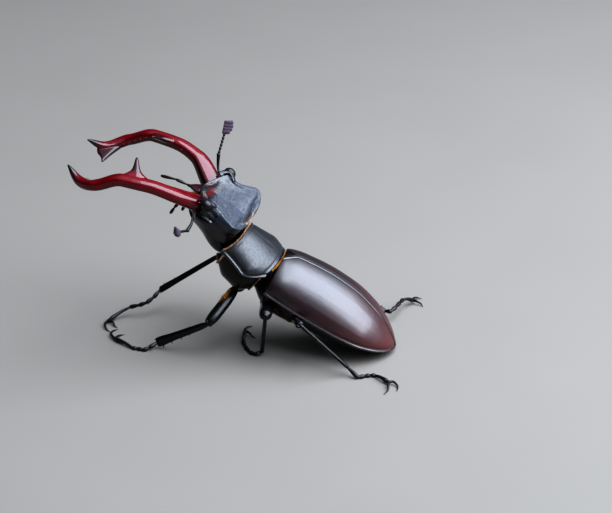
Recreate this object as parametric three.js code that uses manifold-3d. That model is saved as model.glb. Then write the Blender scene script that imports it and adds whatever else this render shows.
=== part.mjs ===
// Stag beetle, a large male, standing with its fore body raised.
// Millimetres. Head towards -Y, left side +X, floor at z = 0.
import * as THREE from "three";
import { mergeVertices } from "three/addons/utils/BufferGeometryUtils.js";
import Module from "manifold-3d";

const wasm = await Module();
wasm.setup();

// ---------------------------------------------------------------- driving sizes
const CENTRING = [3.2, 5.83, 0]; // moves the beetle over the frame's origin
const JOINT_GAP = 0.25; // clear space between neighbouring pieces
const SOCKET_GAP = 0.35; // the same round a hip, and between the head and its collar

const HIND_BODY = { origin: [0, 0, 16], pitch: 27.65, yaw: 0, roll: 0.8 };
const FORE_BODY = { origin: [0.02, 0.15, 17.29], pitch: 38.53, yaw: -2.87, roll: 0.5 };
const HEAD = { origin: [-0.54, -8.84, 32.2], pitch: 36.4, yaw: -2.5, roll: 6 };
const JAW_PITCH = 13;

const ELYTRA_LENGTH = 32;
const ELYTRA_HALF_WIDTH = 9.9;
const ELYTRA_HEIGHT = 8.2;
const ELYTRA_FRONT = 0.03; // share of the length hidden under the pronotum
const SHELL_THICKNESS = 1.0;
const SUTURE_GAP = 0.15; // each side of the midline
const SCUTELLUM_LENGTH = 2.4;
const SCUTELLUM_HALF_WIDTH = 1.9;

const PRONOTUM_LENGTH = 9.52;
const PRONOTUM_HALF_WIDTH = 9.2;
const PRONOTUM_HEIGHT = 5.15;
const HIND_ANGLE_CLIMB = 22; // degrees round the section that the side margin climbs at the rear

const EYE_RADIUS = 1.4;
const EYE_PLACE = [3.7, 7.7, 1.6]; // forward, outward, up in the head's frame
const JAW_REACH = 30;
const JAW_BASE = [5.3, 0, -1.07];

// ---------------------------------------------------------------- curves and frames
const rad = THREE.MathUtils.degToRad;
const vec = (p) => new THREE.Vector3(...p);

// Smooth curve through [place, value] pairs that never overshoots them.
function curve(pairs) {
  const last = pairs.length - 1;
  const steps = pairs.slice(1).map((p, i) => (p[1] - pairs[i][1]) / (p[0] - pairs[i][0]));
  const slope = pairs.map((p, i) => {
    if (i === 0) return steps[0];
    if (i === last) return steps[last - 1];
    const [a, b] = [steps[i - 1], steps[i]];
    return a * b <= 0 ? 0 : (2 * a * b) / (a + b);
  });
  return (x) => {
    const at = Math.min(Math.max(x, pairs[0][0]), pairs[last][0]);
    let i = 0;
    while (i < last - 1 && at > pairs[i + 1][0]) i++;
    const span = pairs[i + 1][0] - pairs[i][0];
    const t = (at - pairs[i][0]) / span;
    const [t2, t3] = [t * t, t * t * t];
    return (
      (2 * t3 - 3 * t2 + 1) * pairs[i][1] +
      (t3 - 2 * t2 + t) * span * slope[i] +
      (3 * t2 - 2 * t3) * pairs[i + 1][1] +
      (t3 - t2) * span * slope[i + 1]
    );
  };
}

// Turns (forward, left, up) of a tilted part of the body into a point of the model.
function frameOf({ origin, pitch, yaw, roll }) {
  const [p, y, r] = [rad(pitch), rad(yaw), rad(roll)];
  const level = new THREE.Vector3(Math.sin(y), -Math.cos(y), 0);
  const side = new THREE.Vector3(Math.cos(y), Math.sin(y), 0);
  const forward = level.clone().multiplyScalar(Math.cos(p));
  forward.z = Math.sin(p);
  const rise = level.clone().multiplyScalar(-Math.sin(p));
  rise.z = Math.cos(p);
  const left = side.clone().multiplyScalar(Math.cos(r)).addScaledVector(rise, -Math.sin(r));
  const up = rise.clone().multiplyScalar(Math.cos(r)).addScaledVector(side, Math.sin(r));
  const at = (f, l, u) =>
    vec(origin).addScaledVector(forward, f).addScaledVector(left, l).addScaledVector(up, u);
  return { at, forward, left, up };
}

const hind = frameOf(HIND_BODY);
const fore = frameOf(FORE_BODY);
const head = frameOf(HEAD);
const jaws = frameOf({
  ...HEAD,
  origin: head.at(...JAW_BASE).toArray(),
  pitch: JAW_PITCH,
});

// ---------------------------------------------------------------- closed solids
// Indexed triangles as a geometry that faces outward.
function solid(points, faces) {
  let volume = 0;
  for (let i = 0; i < faces.length; i += 3) {
    const [a, b, c] = [0, 1, 2].map((k) => points[faces[i + k]]);
    volume += a.dot(b.clone().cross(c));
  }
  const outward = volume < 0 ? faces.slice().reverse() : faces;
  const geometry = new THREE.BufferGeometry().setFromPoints(points);
  geometry.setIndex(outward);
  return geometry;
}

// Closes one end of a loft, to a tip or with a flat cap.
function closeEnd(points, faces, start, count, tip, flip) {
  const push = (a, b, c) => (flip ? faces.push(a, c, b) : faces.push(a, b, c));
  if (tip) {
    points.push(tip);
    for (let j = 0; j < count; j++)
      push(start + j, start + ((j + 1) % count), points.length - 1);
    return;
  }
  const ring = points.slice(start, start + count);
  const normal = new THREE.Vector3();
  ring.forEach((p, j) => {
    const q = ring[(j + 1) % count];
    normal.add(p.clone().sub(ring[0]).cross(q.clone().sub(ring[0])));
  });
  normal.normalize();
  const across = ring[Math.floor(count / 2)].clone().sub(ring[0]);
  across.addScaledVector(normal, -across.dot(normal)).normalize();
  const along = normal.clone().cross(across);
  const flat = ring.map((p) => new THREE.Vector2(p.dot(across), p.dot(along)));
  for (const [a, b, c] of THREE.ShapeUtils.triangulateShape(flat, []))
    push(start + a, start + b, start + c);
}

// A closed skin through rings of equal point counts, capped or drawn to a tip at each end.
function loft(rings, startTip, endTip) {
  const count = rings[0].length;
  const points = rings.flat();
  const faces = [];
  for (let i = 0; i + 1 < rings.length; i++)
    for (let j = 0; j < count; j++) {
      const a = i * count + j;
      const b = i * count + ((j + 1) % count);
      faces.push(a, b, b + count, a, b + count, a + count);
    }
  closeEnd(points, faces, 0, count, startTip, true);
  closeEnd(points, faces, (rings.length - 1) * count, count, endTip, false);
  return solid(points, faces);
}

// A tapering bar along a path; each size is [half-width across `up`, half-thickness along it].
// `shift` turns the ring: 0 puts a flat side underneath when there are 6 sides.
function bar(path, sizes, up, sides = 8, tips = [], shift = 0.5) {
  const rings = path.map((p, i) => {
    const before = path[Math.max(i - 1, 0)];
    const after = path[Math.min(i + 1, path.length - 1)];
    const along = after.clone().sub(before).normalize();
    const across = along.clone().cross(up).normalize();
    const rise = across.clone().cross(along);
    return Array.from({ length: sides }, (_, j) => {
      const turn = ((j + shift) / sides) * 2 * Math.PI;
      return p
        .clone()
        .addScaledVector(across, sizes[i][0] * Math.cos(turn))
        .addScaledVector(rise, sizes[i][1] * Math.sin(turn));
    });
  });
  return loft(rings, tips[0], tips[1]);
}

// A straight bar from a to b, sized along its length by two curves.
function limb(a, b, wide, thick, up, rings, sides = 8) {
  const shares = Array.from({ length: rings }, (_, i) => i / (rings - 1));
  const path = shares.map((t) => a.clone().lerp(b, t));
  const sizes = shares.map((t) => [wide(t), thick(t)]);
  return bar(path, sizes, up, sides);
}

const spike = (foot, tip, radius, sides = 4) => {
  const along = tip.clone().sub(foot);
  const up = Math.abs(along.z) > Math.abs(along.x) ? vec([1, 0.2, 0]) : vec([0, 0.2, 1]);
  const path = [0, 0.5].map((t) => foot.clone().addScaledVector(along, t));
  const sizes = [1, 0.55].map((k) => [radius * k, radius * k]);
  return bar(path, sizes, up, sides, [null, tip]);
};

function ball(centre, radii, frame, wide = 10, high = 6) {
  const geometry = new THREE.SphereGeometry(1, wide, high);
  geometry.deleteAttribute("normal");
  geometry.deleteAttribute("uv");
  const round = mergeVertices(geometry, 1e-4);
  const place = new THREE.Matrix4().makeBasis(frame.forward, frame.left, frame.up);
  round.scale(...radii);
  round.applyMatrix4(place);
  const { x, y, z } = centre;
  round.translate(x, y, z);
  return round;
}

function toManifold(geometry) {
  const merged = mergeVertices(geometry, 1e-4);
  return new wasm.Manifold(
    new wasm.Mesh({
      numProp: 3,
      vertProperties: merged.getAttribute("position").array,
      triVerts: new Uint32Array(merged.index.array),
    }),
  );
}

function fromManifold(body) {
  const { vertProperties, triVerts, numProp } = body.getMesh();
  const places = [];
  for (let i = 0; i < vertProperties.length; i += numProp)
    places.push(...vertProperties.slice(i, i + 3));
  const geometry = new THREE.BufferGeometry();
  geometry.setAttribute("position", new THREE.Float32BufferAttribute(places, 3));
  geometry.setIndex(Array.from(triVerts));
  return geometry;
}

const unite = (...pieces) =>
  fromManifold(pieces.map(toManifold).reduce((whole, piece) => whole.add(piece)));

const carve = (piece, ...cutters) =>
  fromManifold(cutters.map(toManifold).reduce((left, cut) => left.subtract(cut), toManifold(piece)));

// Presses whatever dips under the floor flat onto it.
function settle(geometry) {
  const places = geometry.getAttribute("position");
  for (let i = 0; i < places.count; i++)
    if (places.getZ(i) < 0) places.setZ(i, 0);
  return geometry;
}

// ---------------------------------------------------------------- colours
const finish = (colour, roughness) => ({ colour, roughness });
const BLACK = finish("#0d0c0e", 0.25);
const DULL_BLACK = finish("#1a1b20", 0.45);
const CHESTNUT = finish("#3a1719", 0.3);
const MAROON = finish("#5c0f16", 0.15);
const EYE_BLACK = finish("#07070a", 0.12);
const TARSUS_BROWN = finish("#15100f", 0.35);
const CLUB_BROWN = finish("#4a3540", 0.8);

const beetle = new THREE.Group();
beetle.name = "stag_beetle";

function add(name, geometry, { colour, roughness }) {
  const material = new THREE.MeshStandardMaterial({ color: colour, roughness, metalness: 0 });
  const placed = geometry.clone().translate(...CENTRING);
  placed.computeVertexNormals();
  const mesh = new THREE.Mesh(placed, material);
  mesh.name = name;
  beetle.add(mesh);
}

const SIDES = [
  ["left", 1],
  ["right", -1],
];

// ---------------------------------------------------------------- hips and leg joints
// Hip joints, in the frame of the body part that carries them: forward, out, up.
const HIPS = {
  front: { frame: fore, place: (side) => [2.9, side * 2.7, -6.1], radii: [1.6, 1.8, 1.6] },
  middle: { frame: hind, place: (side) => [-2.5, side * 2.6, -4.5], radii: [1.5, 1.75, 1.45] },
  hind: { frame: hind, place: (side) => [-8.6, side * 2.6, -4.6], radii: [1.4, 2.0, 1.35] },
};

// Joints of each leg as it stands: knee, ankle, ends of the five foot segments, tips of the claws.
// `edge` is the way the tibia's toothed edge faces, where that is not straight away from the hip.
const LEGS = {
  front_left: {
    knee: [11.2, -11.2, 8.5],
    ankle: [8.6, -23.4, 1.5],
    foot: [
      [9.9, -24.9, 0.75], [10.5, -26.1, 0.2], [10.1, -27.5, 0.2],
      [10.0, -28.7, 0.2], [7.1, -33.2, 0.5],
    ],
    claws: [
      [[5.0, -35.1, 0.5], [2.8, -35.3, 0.22], [1.4, -34.5, 0.06]],
      [[5.8, -33.5, 0.5], [4.6, -33.2, 0.22], [3.6, -32.4, 0.06]],
    ],
    edge: [0.3, 0.46, -0.82],
  },
  front_right: {
    knee: [-12.7, -14.1, 13.8],
    ankle: [-10.0, -27.5, 5.2],
    foot: [
      [-8.1, -28.5, 4.2], [-6.6, -29.8, 3.4], [-6.4, -31.5, 2.7],
      [-6.4, -33.7, 2.0], [-2.1, -37.4, 0.5],
    ],
    claws: [
      [[0.1, -37.9, 0.5], [2.0, -37.1, 0.22], [3.1, -35.8, 0.06]],
      [[-0.9, -36.4, 0.5], [0.1, -35.7, 0.22], [0.8, -34.8, 0.06]],
    ],
  },
  middle_left: {
    knee: [13.0, 2.0, 12.5],
    ankle: [7.4, 0, 1.0],
    foot: [
      [8.2, -1.2, 0.3], [7.2, -2.8, 0.2], [4.9, -4.3, 0.2],
      [2.4, -5.4, 0.35], [-1.0, -5.8, 0.7],
    ],
    claws: [
      [[-3.0, -6.0, 0.7], [-4.9, -5.8, 0.22], [-5.7, -4.9, 0.06]],
      [[-1.4, -4.9, 0.6], [-0.6, -4.0, 0.22], [-0.1, -3.0, 0.06]],
    ],
  },
  middle_right: {
    knee: [-12.5, 2.6, 12.3],
    ankle: [-17.0, 6.2, 1.2],
    foot: [
      [-17.7, 7.6, 0.35], [-18.3, 8.9, 0.2], [-18.8, 10.1, 0.2],
      [-19.3, 11.2, 0.3], [-20.9, 13.5, 0.7],
    ],
    claws: [
      [[-21.9, 14.2, 0.7], [-22.9, 14.3, 0.22], [-23.7, 13.8, 0.06]],
      [[-20.9, 14.7, 0.6], [-20.9, 15.9, 0.22], [-20.4, 16.9, 0.06]],
    ],
  },
  hind_left: {
    knee: [14.6, 9.8, 12.0],
    ankle: [12.9, 19.9, 1.9],
    foot: [
      [14.4, 22.4, 0.45], [13.5, 23.6, 0.2], [12.9, 24.7, 0.2],
      [12.7, 25.9, 0.2], [15.3, 28.9, 0.6],
    ],
    claws: [
      [[15.4, 30.3, 0.6], [16.5, 31.4, 0.22], [18.4, 31.5, 0.06]],
      [[16.9, 29.4, 0.55], [18.5, 29.6, 0.22], [20.3, 29.0, 0.06]],
    ],
  },
  hind_right: {
    knee: [-12.3, 12.0, 9.6],
    ankle: [-14.5, 23.9, 2.3],
    foot: [
      [-13.9, 25.4, 2.6], [-15.8, 26.2, 2.8], [-18.5, 26.8, 2.7],
      [-20.8, 27.2, 2.4], [-23.8, 29.0, 1.0],
    ],
    claws: [
      [[-23.7, 30.1, 0.8], [-23.5, 31.1, 0.4], [-22.6, 31.7, 0.06]],
      [[-25.3, 29.2, 0.8], [-26.5, 29.8, 0.4], [-26.7, 30.9, 0.06]],
    ],
  },
};

// Half-sizes of the segments, fore legs first: they dig, so they are broader.
const SEGMENTS = {
  front: { femur: [1.5, 1.15], knee: 0.72, apex: 1.15, flat: 0.45, coxaReach: 1.75 },
  middle: { femur: [1.3, 1.45], knee: 0.62, apex: 0.74, flat: 0.45, coxaReach: 1.75 },
  hind: { femur: [1.1, 0.75], knee: 0.52, apex: 0.68, flat: 0.42, coxaReach: 1.75 },
};
const femurShape = curve([
  [0, 0.55],
  [0.08, 0.72],
  [0.35, 1],
  [0.75, 0.92],
  [0.93, 0.78],
  [1, 0.5],
]);
const tibiaSwell = curve([
  [0, 0],
  [0.3, 0.25],
  [0.7, 0.55],
  [0.92, 1],
  [1, 0.9],
]);

// Spines of the outer edge: share of the tibia, length, radius.
const SPINES = {
  front: [[0.38, 0.55, 0.32], [0.55, 0.7, 0.36], [0.74, 0.8, 0.38], [0.92, 0.8, 0.42]],
  middle: [[0.55, 0.9, 0.27], [0.93, 0.9, 0.27]],
  hind: [[0.38, 0.8, 0.26], [0.62, 0.9, 0.27], [0.93, 0.9, 0.27]],
};

const toward = (a, b, gap) => a.clone().add(b.clone().sub(a).setLength(gap));

// Where one leg bends: its hip, knee and ankle, and the square to the plane they lie in.
function jointsOf(name) {
  const [row, hand] = name.split("_");
  const { frame, place } = HIPS[row];
  const hip = frame.at(...place(hand === "left" ? 1 : -1));
  const [bend, end] = [vec(LEGS[name].knee), vec(LEGS[name].ankle)];
  const plane = bend.clone().sub(hip).cross(end.clone().sub(bend)).normalize();
  return { row, hip, bend, end, plane };
}

// A femur, or with `extra` the room it needs beside the body.
function thigh(name, extra) {
  const { row, hip, bend, plane } = jointsOf(name);
  const { femur, coxaReach } = SEGMENTS[row];
  return limb(
    toward(hip, bend, coxaReach + JOINT_GAP - extra),
    toward(bend, hip, 0.25 - extra),
    (t) => femur[0] * femurShape(t) + extra,
    (t) => femur[1] * femurShape(t) + extra,
    plane,
    extra > 0 ? 4 : 6,
    8,
  );
}

// ---------------------------------------------------------------- mandible shape
const jawOut = curve([
  [0, 4.6],
  [0.18, 8.84],
  [0.36, 10.13],
  [0.54, 10.68],
  [0.72, 10.9],
  [0.87, 8.37],
  [1, 6.09],
]);
const jawUp = curve([
  [0, -0.6],
  [0.18, 2.39],
  [0.36, 3.41],
  [0.54, 3.25],
  [0.72, 0.28],
  [0.87, -1.71],
  [1, -0.06],
]);
const jawWide = curve([
  [0, 2.4],
  [0.1, 2.1],
  [0.25, 1.6],
  [0.5, 1.45],
  [0.7, 1.35],
  [0.84, 1.2],
  [0.93, 0.75],
  [1, 0.3],
]);
const jawThick = curve([
  [0, 1.7],
  [0.1, 1.5],
  [0.25, 1.3],
  [0.5, 1.25],
  [0.7, 1.15],
  [0.85, 1.0],
  [0.94, 0.65],
  [1, 0.28],
]);
const jawAt = (t, side) => jaws.at(t * JAW_REACH, side * jawOut(t), jawUp(t));

function jawBlade(side, stations, extra, tip) {
  const path = stations.map((t) => jawAt(t + 0.012, side));
  const sizes = stations.map((t) => [jawWide(t) + extra, jawThick(t) + extra]);
  return bar(path, sizes, jaws.up, 10, [null, tip]);
}

// ---------------------------------------------------------------- elytra and scutellum
const elytraWidth = curve([
  [0, 0.62],
  [0.02, 0.8],
  [0.06, 0.87],
  [0.15, 0.92],
  [0.35, 0.985],
  [0.55, 1],
  [0.72, 0.93],
  [0.85, 0.73],
  [0.93, 0.5],
  [0.98, 0.25],
  [1, 0.04],
]);
const elytraRise = curve([
  [0, 0.78],
  [0.05, 0.87],
  [0.15, 0.96],
  [0.35, 1],
  [0.55, 0.93],
  [0.75, 0.7],
  [0.9, 0.38],
  [1, 0.07],
]);
const scutellumEnd = (SCUTELLUM_LENGTH + 1.2) / ELYTRA_LENGTH;

// Half the width that the scutellum takes from between the elytra.
function sutureAt(t) {
  const share = Math.max(0, (scutellumEnd - t) / (scutellumEnd - ELYTRA_FRONT));
  return SUTURE_GAP + share * (SCUTELLUM_HALF_WIDTH + 0.1);
}

// Point of the domed back at a share of its length, `out` from the midline.
function domeAt(t, out, inset = 0) {
  const full = elytraWidth(t) * ELYTRA_HALF_WIDTH;
  const rise = elytraRise(t) * ELYTRA_HEIGHT;
  const wide = Math.max(full - inset, 0.4 * full);
  const high = Math.max(rise - inset, 0.4 * rise);
  const turn = Math.asin(Math.min(1, out / wide));
  return high * Math.cos(turn) ** 0.9;
}

function elytronRing(t, side) {
  const gap = Math.min(sutureAt(t), 0.3 * elytraWidth(t) * ELYTRA_HALF_WIDTH);
  const full = elytraWidth(t) * ELYTRA_HALF_WIDTH;
  const inner = Math.max(full - SHELL_THICKNESS, 0.4 * full);
  const lip = Math.min(0.5, 0.2 * full);
  const outer = [0, 0.18, 0.38, 0.58, 0.76, 0.9, 0.98, 1];
  const under = [1, 0.93, 0.7, 0.35, 0];
  const points = [
    ...outer.map((s) => {
      const out = gap + (full - gap) * s;
      return [out, s === 1 ? 0 : domeAt(t, out)];
    }),
    [full - 0.4 * lip, -lip],
    ...under.map((s) => {
      const out = gap + (inner - gap) * s;
      return [out, s === 1 ? -0.6 * lip : domeAt(t, out, SHELL_THICKNESS)];
    }),
  ];
  return points.map(([out, rise]) => hind.at(-t * ELYTRA_LENGTH, side * out, rise));
}

const ELYTRA_STATIONS = [
  ELYTRA_FRONT, 0.05, 0.08, 0.115, 0.2, 0.32, 0.45, 0.58, 0.69, 0.79, 0.87, 0.93, 0.975, 1,
];
for (const [name, side] of SIDES)
  add(`elytron_${name}`, loft(ELYTRA_STATIONS.map((t) => elytronRing(t, side))), CHESTNUT);

const scutellumRings = [0, 0.25, 0.5, 0.75, 0.96].map((s) => {
  const back = ELYTRA_FRONT * ELYTRA_LENGTH + 0.1 + s * SCUTELLUM_LENGTH;
  const half = SCUTELLUM_HALF_WIDTH * (1 - s ** 1.3) * 0.9 + 0.12;
  const top = domeAt(back / ELYTRA_LENGTH, 0);
  return [
    [-half, -0.55],
    [half, -0.55],
    [half, -0.1],
    [0, 0.12],
    [-half, -0.1],
  ].map(([out, rise]) => hind.at(-back, out, top + rise));
});
add("scutellum", loft(scutellumRings), BLACK);

// ---------------------------------------------------------------- hind body under the elytra
const trunkDepth = curve([
  [-1.4, -3.2],
  [1, -4.9],
  [4, -5.4],
  [9, -5.2],
  [16, -4.4],
  [23, -3.1],
  [28, -1.8],
  [31, -0.7],
]);

// Ring of the trunk `back` from the elytra's base, its roof under the elytra or at `roof`.
function trunkRing(back, roof, depth, share = 1) {
  const t = back / ELYTRA_LENGTH;
  const full = elytraWidth(Math.max(t, ELYTRA_FRONT)) * ELYTRA_HALF_WIDTH;
  const wide = share * (Math.max(full - SHELL_THICKNESS, 0.4 * full) - 0.35);
  const low = [
    [1, 0],
    [0.97, 0.3],
    [0.8, 0.72],
    [0.5, 0.95],
    [0, 1],
  ];
  const high = [0, 0.35, 0.65, 0.88].map((s) => {
    const under = domeAt(Math.max(t, ELYTRA_FRONT), s * wide, SHELL_THICKNESS + 0.35);
    return [s * wide, Math.min(under, roof) - 0.05];
  });
  const flank = low.map(([out, down]) => [out * wide, -0.75 * (1 - down) + depth * down]);
  const half = [...high, ...flank];
  const mirrored = half
    .slice(1, -1)
    .reverse()
    .map(([out, rise]) => [-out, rise]);
  return [...half, ...mirrored].map(([out, rise]) => hind.at(-back, out, rise));
}

// Room for the hips and thighs of one pair of legs.
function hollowsOf(row) {
  const { frame, place, radii } = HIPS[row];
  return SIDES.flatMap(([name, side]) => {
    const hip = frame.at(...place(side));
    const socket = ball(hip, radii.map((r) => r + SOCKET_GAP), frame, 8, 5);
    return [socket, thigh(`${row}_${name}`, JOINT_GAP)];
  });
}

const mesothorax = loft([
  trunkRing(-1.5, -0.4, trunkDepth(-1.4), 0.5),
  trunkRing(-0.6, 0.0, trunkDepth(-0.6), 0.72),
  trunkRing(0.4, 0.3, trunkDepth(0.4), 0.9),
  trunkRing(1.4, 4.6, trunkDepth(1.4), 1),
]);
add("mesothorax", carve(mesothorax, ...hollowsOf("middle")), BLACK);

const metasternum = loft([1.7, 3, 5, 7, 8.9].map((b) => trunkRing(b, 4.6, trunkDepth(b))));
add("metasternum", carve(metasternum, ...hollowsOf("middle"), ...hollowsOf("hind")), BLACK);

// The belly plates: where each begins, and how far its front edge is sunk behind the one before.
const ABDOMEN_END = 30.6;
const VENTRITE_ENDS = [9.2, 13.6, 17.4, 21, 24.6, ABDOMEN_END];
const VENTRITE_STEP = 0.22;
const abdomenRings = [];
for (let i = 0; i + 1 < VENTRITE_ENDS.length; i++) {
  const [from, to] = [VENTRITE_ENDS[i], VENTRITE_ENDS[i + 1]];
  const roof = (b) => 7 - 0.16 * b;
  abdomenRings.push(trunkRing(from, roof(from), trunkDepth(from) + VENTRITE_STEP));
  if (to === ABDOMEN_END) abdomenRings.push(trunkRing(28, roof(28), trunkDepth(28)));
  abdomenRings.push(trunkRing(to - 0.25, roof(to), trunkDepth(to)));
}
add("abdomen", carve(loft(abdomenRings), ...hollowsOf("hind")), BLACK);

// ---------------------------------------------------------------- prothorax
const pronotumWidth = curve([
  [0, 0.74],
  [0.2, 0.795],
  [0.45, 0.905],
  [0.66, 1],
  [0.82, 0.945],
  [1, 0.84],
]);

const pronotumHigh = (s) => PRONOTUM_HEIGHT * (0.93 + 0.07 * Math.sin(Math.PI * s) ** 0.8);

// How far round the section the side margin lies: it climbs towards the hind angles.
const marginTurn = (s) => rad(90 - HIND_ANGLE_CLIMB * Math.max(0, (s - 0.66) / 0.34) ** 1.7);
const marginRise = (s) => pronotumHigh(s) * Math.max(0, Math.cos(marginTurn(s))) ** 0.85;

// Point of the pronotum: s runs front to rear, share from the left margin (1) over the top to the
// right one (-1). With `under` it lies on the flat lower face instead.
function pronotumAt(s, share, under = false) {
  const turn = share * marginTurn(s);
  const level = Math.max(0, Math.cos(turn));
  const front = -1.7 + 2.1 * level ** 0.55 - 0.35 * level ** 8;
  const rear = PRONOTUM_LENGTH * (0.93 + 0.07 * level);
  return fore.at(
    PRONOTUM_LENGTH - front - (rear - front) * s,
    pronotumWidth(s) * PRONOTUM_HALF_WIDTH * Math.sin(turn),
    under ? marginRise(s) - 0.45 : pronotumHigh(s) * level ** 0.85,
  );
}

const PRONOTUM_STATIONS = [0, 0.08, 0.24, 0.45, 0.66, 0.76, 0.86, 0.94, 1];
const PRONOTUM_TURNS = [90, 84, 76, 65, 50, 33, 16, 0, -16, -33, -50, -65, -76, -84, -90];
const PRONOTUM_FLOOR_TURNS = [-62, 0, 62];
const pronotumRings = PRONOTUM_STATIONS.map((s) => [
  ...PRONOTUM_TURNS.map((turn) => pronotumAt(s, turn / 90)),
  ...PRONOTUM_FLOOR_TURNS.map((turn) => pronotumAt(s, turn / 90, true)),
]);
const pronotum = loft(pronotumRings);
add("pronotum", pronotum, DULL_BLACK);

const prosternumDepth = curve([
  [0.1, -5.7],
  [2.5, -7.4],
  [4.5, -7.3],
  [6.5, -7.2],
  [8.4, -5.3],
]);
const prosternumRings = [0.1, 1.6, 3.3, 5.1, 6.8, 8.3].map((b) => {
  const wide = pronotumWidth(b / PRONOTUM_LENGTH) * PRONOTUM_HALF_WIDTH * 0.93;
  const deep = prosternumDepth(b);
  const roof = marginRise(b / PRONOTUM_LENGTH) - 0.75;
  const half = [
    [0, roof],
    [0.6, roof],
    [1, roof],
    [0.96, -1.5],
    [0.84, 0.5 * deep],
    [0.62, 0.8 * deep],
    [0.34, 0.96 * deep],
    [0, deep],
  ];
  const other = half
    .slice(1, -1)
    .reverse()
    .map(([out, rise]) => [-out, rise]);
  return [...half, ...other].map(([out, rise]) => fore.at(PRONOTUM_LENGTH - b, out * wide, rise));
});
add("prosternum", carve(loft(prosternumRings), ...hollowsOf("front")), BLACK);

// ---------------------------------------------------------------- head
// Each row: forward place, then [out, up] of the roof's middle, the crest, the cheek, the lower
// cheek, the edge of the throat and the throat's middle.
const HEAD_ROWS = [
  [6.6, -0.9, [1.2, -0.9], [1.6, -1.6], [1.5, -2.3], [1.0, -2.9], -3.0],
  [5.4, -0.5, [3.6, -0.2], [4.4, -1.3], [4.3, -3.2], [3.0, -4.8], -5.0],
  [4.4, -0.1, [6.3, 1.2], [7.0, -0.2], [6.8, -3.0], [4.5, -5.5], -5.8],
  [3.6, 0.1, [7.3, 1.7], [7.8, 0.0], [7.5, -3.2], [4.9, -5.9], -6.2],
  [2.2, 0.3, [6.5, 1.4], [7.9, -0.6], [7.8, -3.4], [5.0, -6.2], -6.5],
  [0.4, 0.45, [6.9, 1.35], [8.2, -1.2], [8.0, -3.8], [5.2, -6.7], -7.1],
  [-1.5, 0.55, [8.0, 1.5], [8.1, -1.6], [7.8, -4.4], [5.4, -7.5], -7.9],
  [-3.4, 0.65, [8.9, 1.8], [7.7, -1.8], [7.3, -4.8], [5.3, -8.1], -8.5],
  [-4.8, 0.75, [7.5, 1.3], [6.7, -1.8], [6.6, -5.0], [5.0, -8.2], -8.6],
  [-5.4, 0.5, [5.0, 0.9], [5.9, -2.4], [5.8, -5.1], [4.5, -7.8], -8.2],
  [-5.75, -1.4, [3.6, -1.5], [4.8, -3.0], [4.8, -5.0], [3.6, -7.2], -7.6],
  [-6.35, -1.9, [2.4, -2.1], [3.2, -3.2], [3.2, -4.8], [2.4, -6.4], -6.8],
];

// Ring through a head row, its roof hollow between the middle and the crest.
function headRing([forward, roof, crest, cheek, low, throat, floor]) {
  const dip = [crest[0] * 0.6, (roof + crest[1]) / 2 - 0.15];
  const shoulder = [(crest[0] + cheek[0]) / 2 + 0.2, (crest[1] + cheek[1]) / 2];
  const half = [[0, roof], dip, crest, shoulder, cheek, low, throat, [0, floor]];
  const other = half
    .slice(1, -1)
    .reverse()
    .map(([out, up]) => [-out, up]);
  return [...half, ...other].map(([out, up]) => head.at(forward, out, up));
}

const eyeSockets = SIDES.map(([, side]) => {
  const [f, l, u] = EYE_PLACE;
  const wide = EYE_RADIUS + 0.15;
  return ball(head.at(f, side * l, u), [wide, wide, wide], head, 10, 6);
});
const jawSockets = SIDES.map(([, side]) => jawBlade(side, [0, 0.06, 0.13, 0.21], JOINT_GAP + 0.05, null));
const headBlock = loft(HEAD_ROWS.map(headRing));
const collar = pronotum.clone().translate(...fore.forward.clone().setLength(SOCKET_GAP).toArray());
add("head", carve(headBlock, collar, ...eyeSockets, ...jawSockets), DULL_BLACK);

for (const [name, side] of SIDES) {
  const [f, l, u] = EYE_PLACE;
  const place = head.at(f, side * l, u);
  const radii = [EYE_RADIUS, EYE_RADIUS, EYE_RADIUS];
  add(`eye_${name}`, ball(place, radii, head, 10, 6), EYE_BLACK);
}

const labrumRings = [
  [6.9, 1.35, -1.6, 0.55],
  [7.6, 1.6, -1.9, 0.5],
  [8.3, 1.1, -2.2, 0.4],
  [8.8, 0.4, -2.4, 0.28],
].map(([f, half, up, thick]) =>
  [
    [-1, -0.6],
    [0, -1],
    [1, -0.6],
    [1, 0.5],
    [0, 1],
    [-1, 0.5],
  ].map(([k, m]) => head.at(f, k * half, up + m * thick)),
);
add("labrum", loft(labrumRings), MAROON);

const mentumRings = [
  [1.0, 2.2, -7.65],
  [2.6, 3.1, -7.25],
  [4.4, 3.3, -6.65],
  [5.8, 2.9, -5.75],
  [6.6, 2.2, -4.9],
].map(([f, half, up]) =>
  [
    [-1, 0.3],
    [-0.6, -0.35],
    [0.6, -0.35],
    [1, 0.3],
    [0, 0.36],
  ].map(([k, m]) => head.at(f, k * half, up + m)),
);
add("mentum", loft(mentumRings), BLACK);

// ---------------------------------------------------------------- feelers and palps
const PALPS = {
  palp_maxillary_left: [[6.9, 2.3, -4.0], [8.5, 3.6, -5.0], [8.7, 3.6, -6.9], [8.6, 3.0, -9.3]],
  palp_maxillary_right: [[7.3, -2.3, -3.6], [9.4, -2.4, -4.3], [12.1, -2.6, -5.2], [15.2, -2.9, -7.1]],
  palp_labial_left: [[6.9, 0.8, -5.4], [7.2, 0.9, -6.6], [7.0, 1.0, -8.1]],
  palp_labial_right: [[6.9, -0.8, -5.4], [7.3, -0.9, -6.5], [7.6, -1.1, -7.9]],
};
for (const [name, joints] of Object.entries(PALPS)) {
  const path = [];
  const sizes = [];
  joints.slice(0, -1).forEach((from, i) => {
    const to = joints[i + 1];
    for (const [t, r] of [
      [0.04, 0.26],
      [0.8, 0.36],
      [0.97, 0.3],
    ]) {
      path.push(head.at(...from.map((v, k) => v + (to[k] - v) * t)));
      sizes.push([r, r]);
    }
  });
  add(name, bar(path, sizes, head.left.clone().addScaledVector(head.up, 0.3), 6), TARSUS_BROWN);
}

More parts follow.
